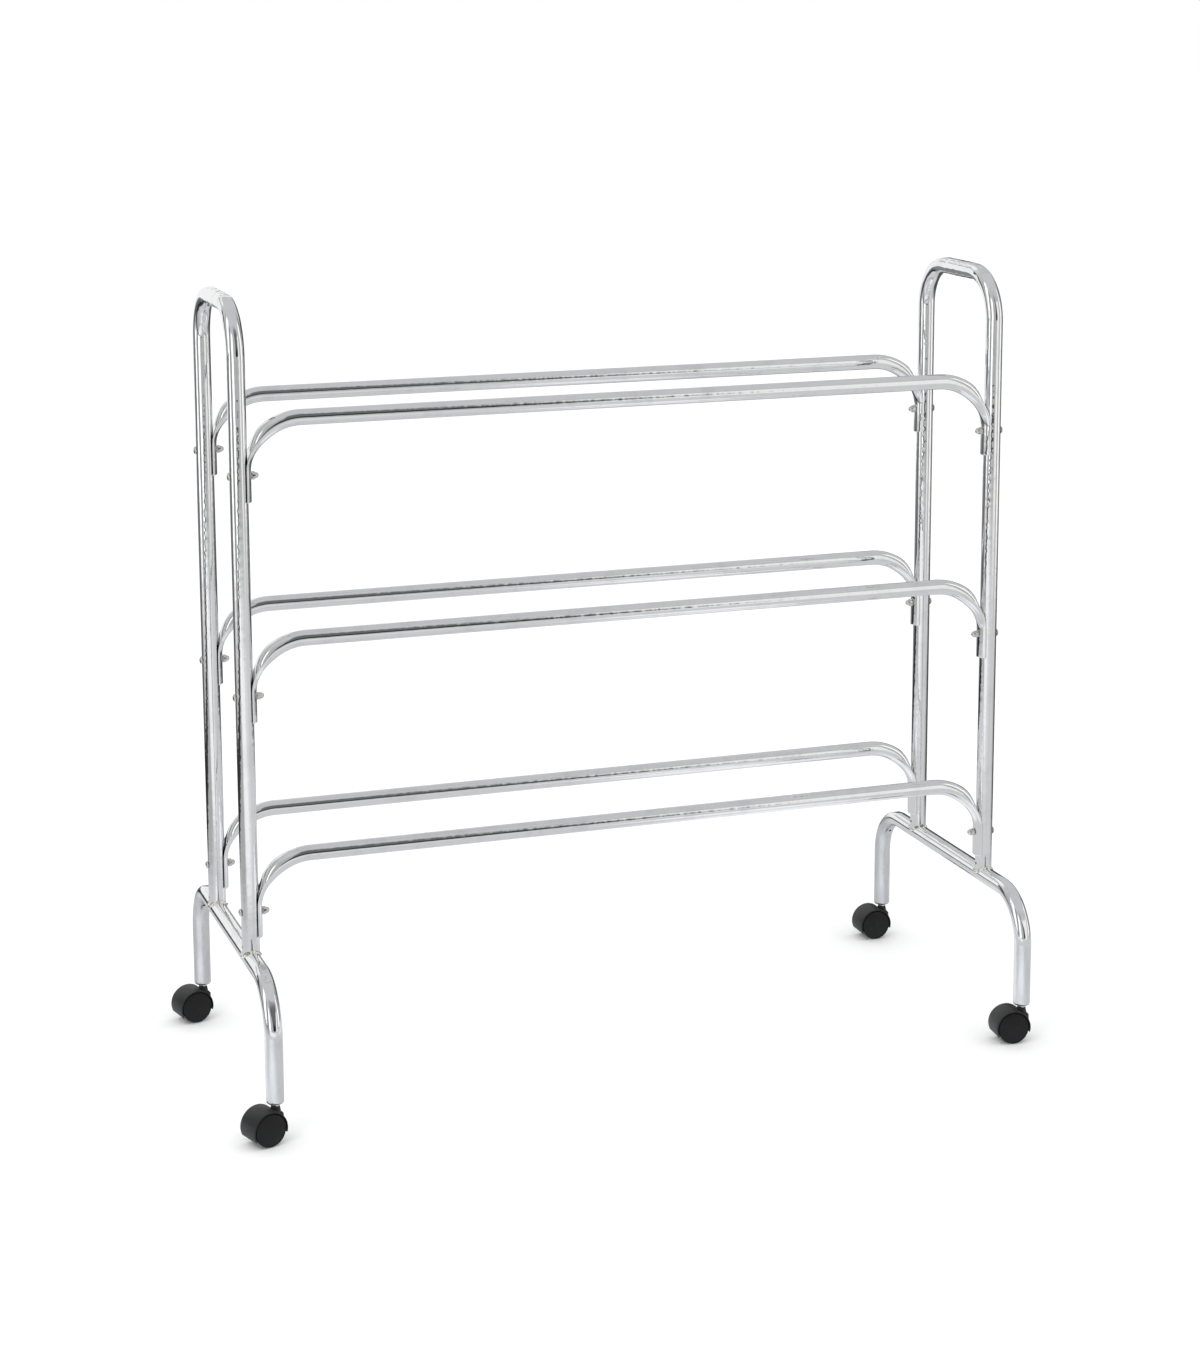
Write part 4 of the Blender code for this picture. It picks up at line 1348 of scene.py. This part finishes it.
def wheel_mesh(caster, width):
    """A wheel with its ribs."""
    plain = finished_mesh(wheel_shape(caster, width), "wheel", PAINTS["wheel"])
    wheel = new_piece("wheel_pattern", plain)
    shape = bmesh.new()
    first = 0.0055
    last = caster.wheel_radius - 0.003
    thickness = 0.0012
    below_rib = 0.0018
    size = Vector((last - first, thickness, width - 0.0045))
    place = Matrix.Translation(Vector(((first + last) / 2, 0, size.z / 2 + below_rib)))
    bmesh.ops.create_cube(shape, size=1.0, matrix=place @ Matrix.Diagonal((*size, 1.0)))
    bmesh.ops.bevel(shape, geom=shape.edges[:], offset=0.0003, segments=2, profile=0.5, affect="EDGES")
    rib = helper_from(shape, "rib")
    add_tree(wheel, rib_tree(), {"Rib": rib, "Count": caster.rib_count, "Finish": PAINTS["wheel"]})
    mesh = plain_mesh(wheel, "wheel")
    remove_objects(wheel, rib)
    shade(mesh)
    return mesh


class RACK_OT_build_wheels(bpy.types.Operator):
    """Build the eight caster wheels"""

    bl_idname = "rack.build_wheels"
    bl_label = "Caster Wheels"

    def execute(self, context):
        core_half = 0.006
        gap = 0.0006
        width = 0.0131
        pattern = wheel_mesh(context.scene.rack_caster, width)
        for corner in CORNERS:
            turn = caster_turn(corner)
            axle = middle(f"{corner}_caster_axle")
            for row_name, row in ROWS.items():
                out = (turn @ Vector((0, row, 0))).to_3d()
                facing = Vector((0, 0, 1)).rotation_difference(out).to_matrix().to_4x4()
                place = Matrix.Translation(axle + out * (core_half + gap)) @ facing
                body, node = f"{corner}_{row_name}_wheel", f"{corner}_caster_{row_name}_wheel"
                place_copy(pattern, f"wheel_{corner}_{row_name}", place, body, "black_nylon_wheel", node)
        bpy.data.meshes.remove(pattern)
        return {"FINISHED"}


def build_turned(name, corner, corners, finish, slot, node):
    """A turned piece of the frame, on the axis of one corner's stem."""
    axis = stem_place(corner)
    shape = lathe(rounded(corners), 56, place=Matrix.Translation((axis.x, axis.y, 0)))
    piece = new_piece(f"{name}_{corner}", finished_mesh(shape, f"{name}_{corner}", finish))
    dress(piece, FRAME_BODY, slot, node)


class RACK_OT_build_stems(bpy.types.Operator):
    """Build the bright stems with their collars, and the pressed sockets in the legs' ends"""

    bl_idname = "rack.build_stems"
    bl_label = "Stems and Sockets"

    def execute(self, context):
        spigot_r = 0.004
        pin_r = 0.0055
        collar_r = 0.0059
        collar_h = 0.002
        collar_gap = 0.0003
        bore_r = pin_r + 0.0003
        flange_r = 0.0119
        flange_h = 0.0015
        body_r = 0.0107
        for corner in CORNERS:
            stem_node = f"{corner}_caster_stem"
            socket_node = f"{corner}_caster_socket"
            lowest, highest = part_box(stem_node)
            socket_low, socket_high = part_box(socket_node)
            collar_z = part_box(f"{corner}_caster_hood")[1].z + collar_gap
            neck_z = collar_z + collar_h
            stem = [
                (0.0, highest.z, 0.0),
                (pin_r, highest.z, 0.0012),
                (pin_r, socket_low.z, 0.0003),
                (spigot_r, socket_low.z, 0.0004),
                (spigot_r, neck_z, 0.0003),
                (collar_r, neck_z, 0.0005),
                (collar_r, collar_z, 0.0004),
                (spigot_r, collar_z, 0.0),
                (spigot_r, lowest.z, 0.0008),
                (0.0, lowest.z, 0.0),
            ]
            build_turned("stem", corner, stem, PAINTS["collar"], "bright_steel", stem_node)
            half_way = (bore_r, (socket_low.z + socket_high.z) / 2, 0.0)
            flange_z = socket_low.z + flange_h
            socket = [
                half_way,
                (bore_r, socket_high.z, 0.0),
                (body_r, socket_high.z, 0.0008),
                (body_r, flange_z, 0.0),
                (flange_r, flange_z, 0.0003),
                (flange_r - 0.0014, socket_low.z, 0.0006),
                (bore_r + 0.0008, socket_low.z, 0.0002),
                (bore_r, socket_low.z + 0.0008, 0.0002),
                half_way,
            ]
            build_turned("socket", corner, socket, PAINTS["socket"], "pressed_steel_socket", socket_node)
        return {"FINISHED"}


class RACK_OT_finish_axles(bpy.types.Operator):
    """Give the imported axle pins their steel"""

    bl_idname = "rack.finish_axles"
    bl_label = "Axles"

    def execute(self, context):
        for corner in CORNERS:
            axle = frame["nodes"][f"{corner}_caster_axle"]
            axle.data.materials.clear()
            axle.data.materials.append(PAINTS["axle"])
        return {"FINISHED"}


class RACK_OT_make_finishes(bpy.types.Operator):
    """Make the rack's materials"""

    bl_idname = "rack.make_finishes"
    bl_label = "Finishes"

    def execute(self, context):
        make_finishes(context.scene.rack_finish)
        return {"FINISHED"}


# The stage

# What the chrome mirrors round the rack: where it lies by compass, from +Y towards +X, and by height, in
# degrees, each with the softness of its edges, and its colour. A later one covers an earlier one. The floor
# beyond the paper counts as height FLOOR_HEIGHT.
FLOOR_HEIGHT = -50.0
SURROUND = (
    ("dark hall ahead", -50.0, 70.0, 4.0, -60.0, 19.0, 2.0, (0.085, 0.085, 0.09)),
    ("grey hall ahead", -60.0, 76.0, 6.0, 19.0, 50.0, 3.0, (0.60, 0.605, 0.61)),
    ("bright ceiling ahead", -40.0, 0.0, 6.0, 25.0, 50.0, 2.0, (0.96, 0.965, 0.97)),
    ("bright wall ahead", -16.0, 16.0, 3.0, 17.5, 24.0, 1.2, (0.96, 0.965, 0.97)),
    ("white backdrop", -38.0, 23.0, 2.0, -60.0, 17.5, 1.2, (0.97, 0.97, 0.97)),
    ("dark gap ahead", 10.0, 24.0, 1.5, -5.0, 5.0, 1.5, (0.10, 0.10, 0.105)),
    ("left light", -98.0, -74.0, 3.0, -60.0, 46.0, 5.0, (1.36, 1.37, 1.38)),
    ("left gap", -115.0, -102.0, 2.5, -60.0, 40.0, 6.0, (0.26, 0.265, 0.27)),
    ("left reflector", -144.0, -122.0, 3.0, -60.0, 36.0, 5.0, (1.36, 1.37, 1.38)),
    ("right gap", 72.0, 96.0, 5.0, -60.0, 50.0, 6.0, (0.33, 0.33, 0.32)),
    ("right light", 96.0, 120.0, 4.0, -60.0, 50.0, 5.0, (1.16, 1.15, 1.13)),
    ("right softbox", 140.0, 162.0, 2.0, -60.0, 36.0, 3.0, (0.93, 0.93, 0.92)),
    ("dim hall behind", 160.0, 181.0, 3.0, 0.0, 52.0, 12.0, (0.15, 0.15, 0.155)),
    ("dark hall behind", 160.0, 181.0, 3.0, -20.0, 13.0, 9.0, (0.015, 0.015, 0.018)),
)

# Painted light and shade on the glowing paper near the rack, by compass alone: first, last, soft, brightness.
PAPER_PAINTED_SHADE = (
    (-68.0, -18.0, 9.0, 0.14),
    (-124.0, -68.0, 9.0, 0.44),
    (-168.0, -124.0, 9.0, 0.98),
    (110.0, 168.0, 20.0, 0.66),
    (52.0, 110.0, 14.0, 0.46),
    (20.0, 94.0, 8.0, 0.08),
)


def compass_of(x, y):
    return x.math("ARCTAN2", y) * (180 / math.pi)


def compass_band(compass, first, last, soft):
    """1 between two compass directions, with soft sides."""
    half = (last - first) / 2
    away = (compass - (first + half)).math("WRAP", 180.0, -180.0).math("ABSOLUTE")
    return away.ramp(half - soft, half + soft, 1.0, 0.0)


def surround_group():
    """The colour of what surrounds the rack in one direction."""
    inputs = {"Compass": 0.0, "Height": 0.0}
    group, given = new_group("studio_surround", "ShaderNodeTree", inputs, {"Color": "Color"})
    height = given["Height"]
    wall = (0.47, 0.48, 0.47)
    ceiling = (0.60, 0.61, 0.63)
    colour = height.ramp(20.0, 58.0).mix(wall, ceiling)
    for _, first, last, soft, low, high, soft_height, shade_colour in SURROUND:
        across = compass_band(given["Compass"], first, last, soft)
        colour = (across * height.band(low, high, soft_height)).mix(colour, shade_colour)
    add_node(group, "NodeGroupOutput", {"Color": colour})
    return group


def studio_world(stage, surround):
    """Plain white to the camera, even light on dull surfaces, and the studio in the chrome."""
    world = bpy.data.worlds.new("studio")
    world.use_nodes = True
    tree = world.node_tree
    tree.nodes.clear()
    x, y, z = signal_from(tree, "ShaderNodeTexCoord", output="Generated").parts()
    height = z.math("ARCSINE") * (180 / math.pi)
    values = {"Compass": compass_of(x, y), "Height": height}
    mirrored = signal_from(tree, "ShaderNodeGroup", values, node_tree=surround)
    path = add_node(tree, "ShaderNodeLightPath").outputs
    even = height.ramp(-20.0, 70.0).mix((0.95, 0.96, 0.98), (1.18, 1.18, 1.18))
    colour = Signal(path["Is Diffuse Ray"]).mix(mirrored, even)
    colour = Signal(path["Is Camera Ray"]).mix(colour, (1.0, 1.0, 1.0))
    light = signal_from(tree, "ShaderNodeBackground", {"Color": colour, "Strength": stage.light_level})
    add_node(tree, "ShaderNodeOutputWorld", {"Surface": light})
    bpy.context.scene.world = world


def paper_painted_light(place, compass):
    """The floor paper in the mirror, its light and shade painted in as glow: pale at the feet, and painted
    shade by compass between feet and hall.
    """
    # Painted shade by compass on the glowing paper.
    shaded = (0.77, 0.775, 0.785)
    for first, last, soft, level in PAPER_PAINTED_SHADE:
        shaded = compass_band(compass, first, last, soft).mix(shaded, (level, level, level * 1.01))
    # Pale paper at the feet, with a painted pool of light beside each leg that the legs mirror as a highlight.
    at_feet = (0.66, 0.67, 0.69)
    glow_left = 0.19
    glow_ahead = 0.24
    for side_name, row_name in UPRIGHTS:
        spot = Vector((frame_x(side_name) - glow_left, leg_y(side_name, row_name) - glow_ahead, 0.0))
        glow = (place - spot).math("LENGTH").ramp(0.08, 0.34, 1.0, 0.0)
        at_feet = glow.mix(at_feet, (0.98, 1.0, 1.04))
    half_footprint = (0.58, 0.25, 0.0)
    beside = (place.math("ABSOLUTE") - half_footprint).math("MAXIMUM", (0.0, 0.0, 0.0))
    return beside.math("LENGTH").ramp(0.55, 1.05).mix(at_feet, shaded)


def mirrored_floor(stage, surround):
    """A glowing floor that only mirror-like surfaces see, with light and shade painted in: pale paper, a dark
    ring on it, a painted shadow behind the rack, and the hall beyond.
    """
    material, tree, place = new_material("mirrored_floor")
    x, y, _ = place.parts()
    compass = compass_of(x, y)
    values = {"Compass": compass, "Height": FLOOR_HEIGHT}
    hall = signal_from(tree, "ShaderNodeGroup", values, node_tree=surround)
    far = place.math("LENGTH").ramp(2.4, 5.2)
    colour = far.mix(paper_painted_light(place, compass), hall)
    # Painted shadow: a dark band on the glowing paper behind the rack.
    behind = y.ramp(1.15, 1.6) * y.ramp(4.2, 5.6, 1.0, 0.0)
    colour = (behind * 0.80).mix(colour, (0.12, 0.12, 0.125))
    from_ring_centre = place + (0.3, 2.2, 0.0)
    ring_radii = (2.75, 3.75, 1.0)
    from_ring = (from_ring_centre / ring_radii).math("LENGTH") - 1.0
    left_half = x.ramp(0.5, -0.1)
    ring = from_ring.band(-0.10, 0.085, 0.03) * left_half
    colour = (ring * 0.95).mix(colour, (0.02, 0.02, 0.022))
    light = signal_from(tree, "ShaderNodeEmission", {"Color": colour, "Strength": stage.light_level})
    add_node(tree, "ShaderNodeOutputMaterial", {"Surface": light})
    below_floor = 0.004
    sheet = flat_sheet("mirrored_floor", stage.floor_size / 2, -below_floor, material)
    sheet.visible_camera = False
    sheet.visible_diffuse = False
    sheet.visible_transmission = False
    sheet.visible_shadow = False
    return sheet


def flat_sheet(name, half, z, material):
    shape = bmesh.new()
    bmesh.ops.create_grid(shape, x_segments=4, y_segments=4, size=half)
    bmesh.ops.translate(shape, verts=shape.verts, vec=(0, 0, z))
    return new_piece(name, mesh_from(shape, name, material))


def key_light():
    """A large soft lamp that lights the dull surfaces and isn't mirrored in the chrome."""
    place = Vector((-2.6, -2.4, 3.2))
    target = Vector((0, 0, 0.4))
    lamp = bpy.data.lights.new("key_light", "AREA")
    lamp.shape = "DISK"
    lamp.size = 2.0
    lamp.energy = 26.0
    holder = bpy.data.objects.new("key_light", lamp)
    holder.location = place
    holder.rotation_euler = (target - place).to_track_quat("-Z", "Y").to_euler()
    holder.visible_glossy = False
    holder.visible_camera = False
    bpy.context.scene.collection.objects.link(holder)


def photo_camera(focal_length):
    """The camera that sees the rack as the photograph does."""
    yaw = 0.33126
    pitch = -0.17837
    roll = -0.00392
    ahead = Vector((math.sin(yaw) * math.cos(pitch), math.cos(yaw) * math.cos(pitch), math.sin(pitch)))
    right = Vector((math.cos(yaw), -math.sin(yaw), 0.0))
    up = right.cross(ahead)
    rolled_right = math.cos(roll) * right + math.sin(roll) * up
    rolled_up = math.cos(roll) * up - math.sin(roll) * right
    lens = bpy.data.cameras.new("camera")
    lens.lens = focal_length
    lens.sensor_width = 36.0
    lens.sensor_fit = "AUTO"
    lens.shift_y = -0.146
    camera = bpy.data.objects.new("camera", lens)
    turn = Matrix((rolled_right, rolled_up, -ahead)).transposed().to_4x4()
    camera.matrix_world = Matrix.Translation((-1.32967, -3.88325, 1.56794)) @ turn
    bpy.context.scene.collection.objects.link(camera)
    bpy.context.scene.camera = camera


class RACK_OT_build_stage(bpy.types.Operator):
    """Build the camera, the plain pale floor and the soft studio light"""

    bl_idname = "rack.build_stage"
    bl_label = "Stage"

    def execute(self, context):
        stage = context.scene.rack_stage
        photo_camera(stage.lens)
        below_wheels = 0.0004
        floor = flat_sheet("floor", stage.floor_size / 2, -below_wheels, floor_paint(stage.floor_colour))
        floor.visible_glossy = False
        surround = surround_group()
        mirrored_floor(stage, surround)
        studio_world(stage, surround)
        key_light()
        context.scene.view_settings.view_transform = "Standard"
        return {"FINISHED"}


class RACK_PT_panel(bpy.types.Panel):
    """Lists the rack's settings and the operators that build it"""

    bl_idname = "RACK_PT_panel"
    bl_label = "Ball Storage Rack"
    bl_space_type = "VIEW_3D"
    bl_region_type = "UI"
    bl_category = "Ball Rack"

    def draw(self, context):
        layout = self.layout
        for operator in BUILD_ORDER:
            layout.operator(operator.bl_idname)
        for name in SETTINGS:
            settings = getattr(context.scene, name)
            box = layout.box()
            for key in settings.__annotations__:
                box.prop(settings, key)


SETTINGS = {
    "rack_tube": TubeSettings,
    "rack_rail": RailSettings,
    "rack_fastener": FastenerSettings,
    "rack_caster": CasterSettings,
    "rack_finish": FinishSettings,
    "rack_stage": StageSettings,
}

BUILD_ORDER = (
    RACK_OT_make_finishes,
    RACK_OT_build_stage,
    RACK_OT_build_hoops,
    RACK_OT_build_feet,
    RACK_OT_build_welds,
    RACK_OT_build_rails,
    RACK_OT_build_bolts,
    RACK_OT_build_cap_nuts,
    RACK_OT_build_hoods,
    RACK_OT_build_wheels,
    RACK_OT_build_stems,
    RACK_OT_finish_axles,
)

CLASSES = (*SETTINGS.values(), *BUILD_ORDER, RACK_PT_panel)


def register():
    for entry in CLASSES:
        bpy.utils.register_class(entry)
    for name, settings in SETTINGS.items():
        setattr(bpy.types.Scene, name, PointerProperty(type=settings))


def unregister():
    for name in SETTINGS:
        delattr(bpy.types.Scene, name)
    for entry in reversed(CLASSES):
        bpy.utils.unregister_class(entry)


def main():
    register()
    bpy.ops.rack.make_finishes()
    bpy.ops.rack.build_stage()
    bpy.ops.rack.build_hoops()
    bpy.ops.rack.build_feet()
    bpy.ops.rack.build_welds()
    bpy.ops.rack.build_rails()
    bpy.ops.rack.build_bolts()
    bpy.ops.rack.build_cap_nuts()
    bpy.ops.rack.build_hoods()
    bpy.ops.rack.build_wheels()
    bpy.ops.rack.build_stems()
    bpy.ops.rack.finish_axles()
    bpy.context.view_layer.update()


if __name__ == "__main__":
    main()
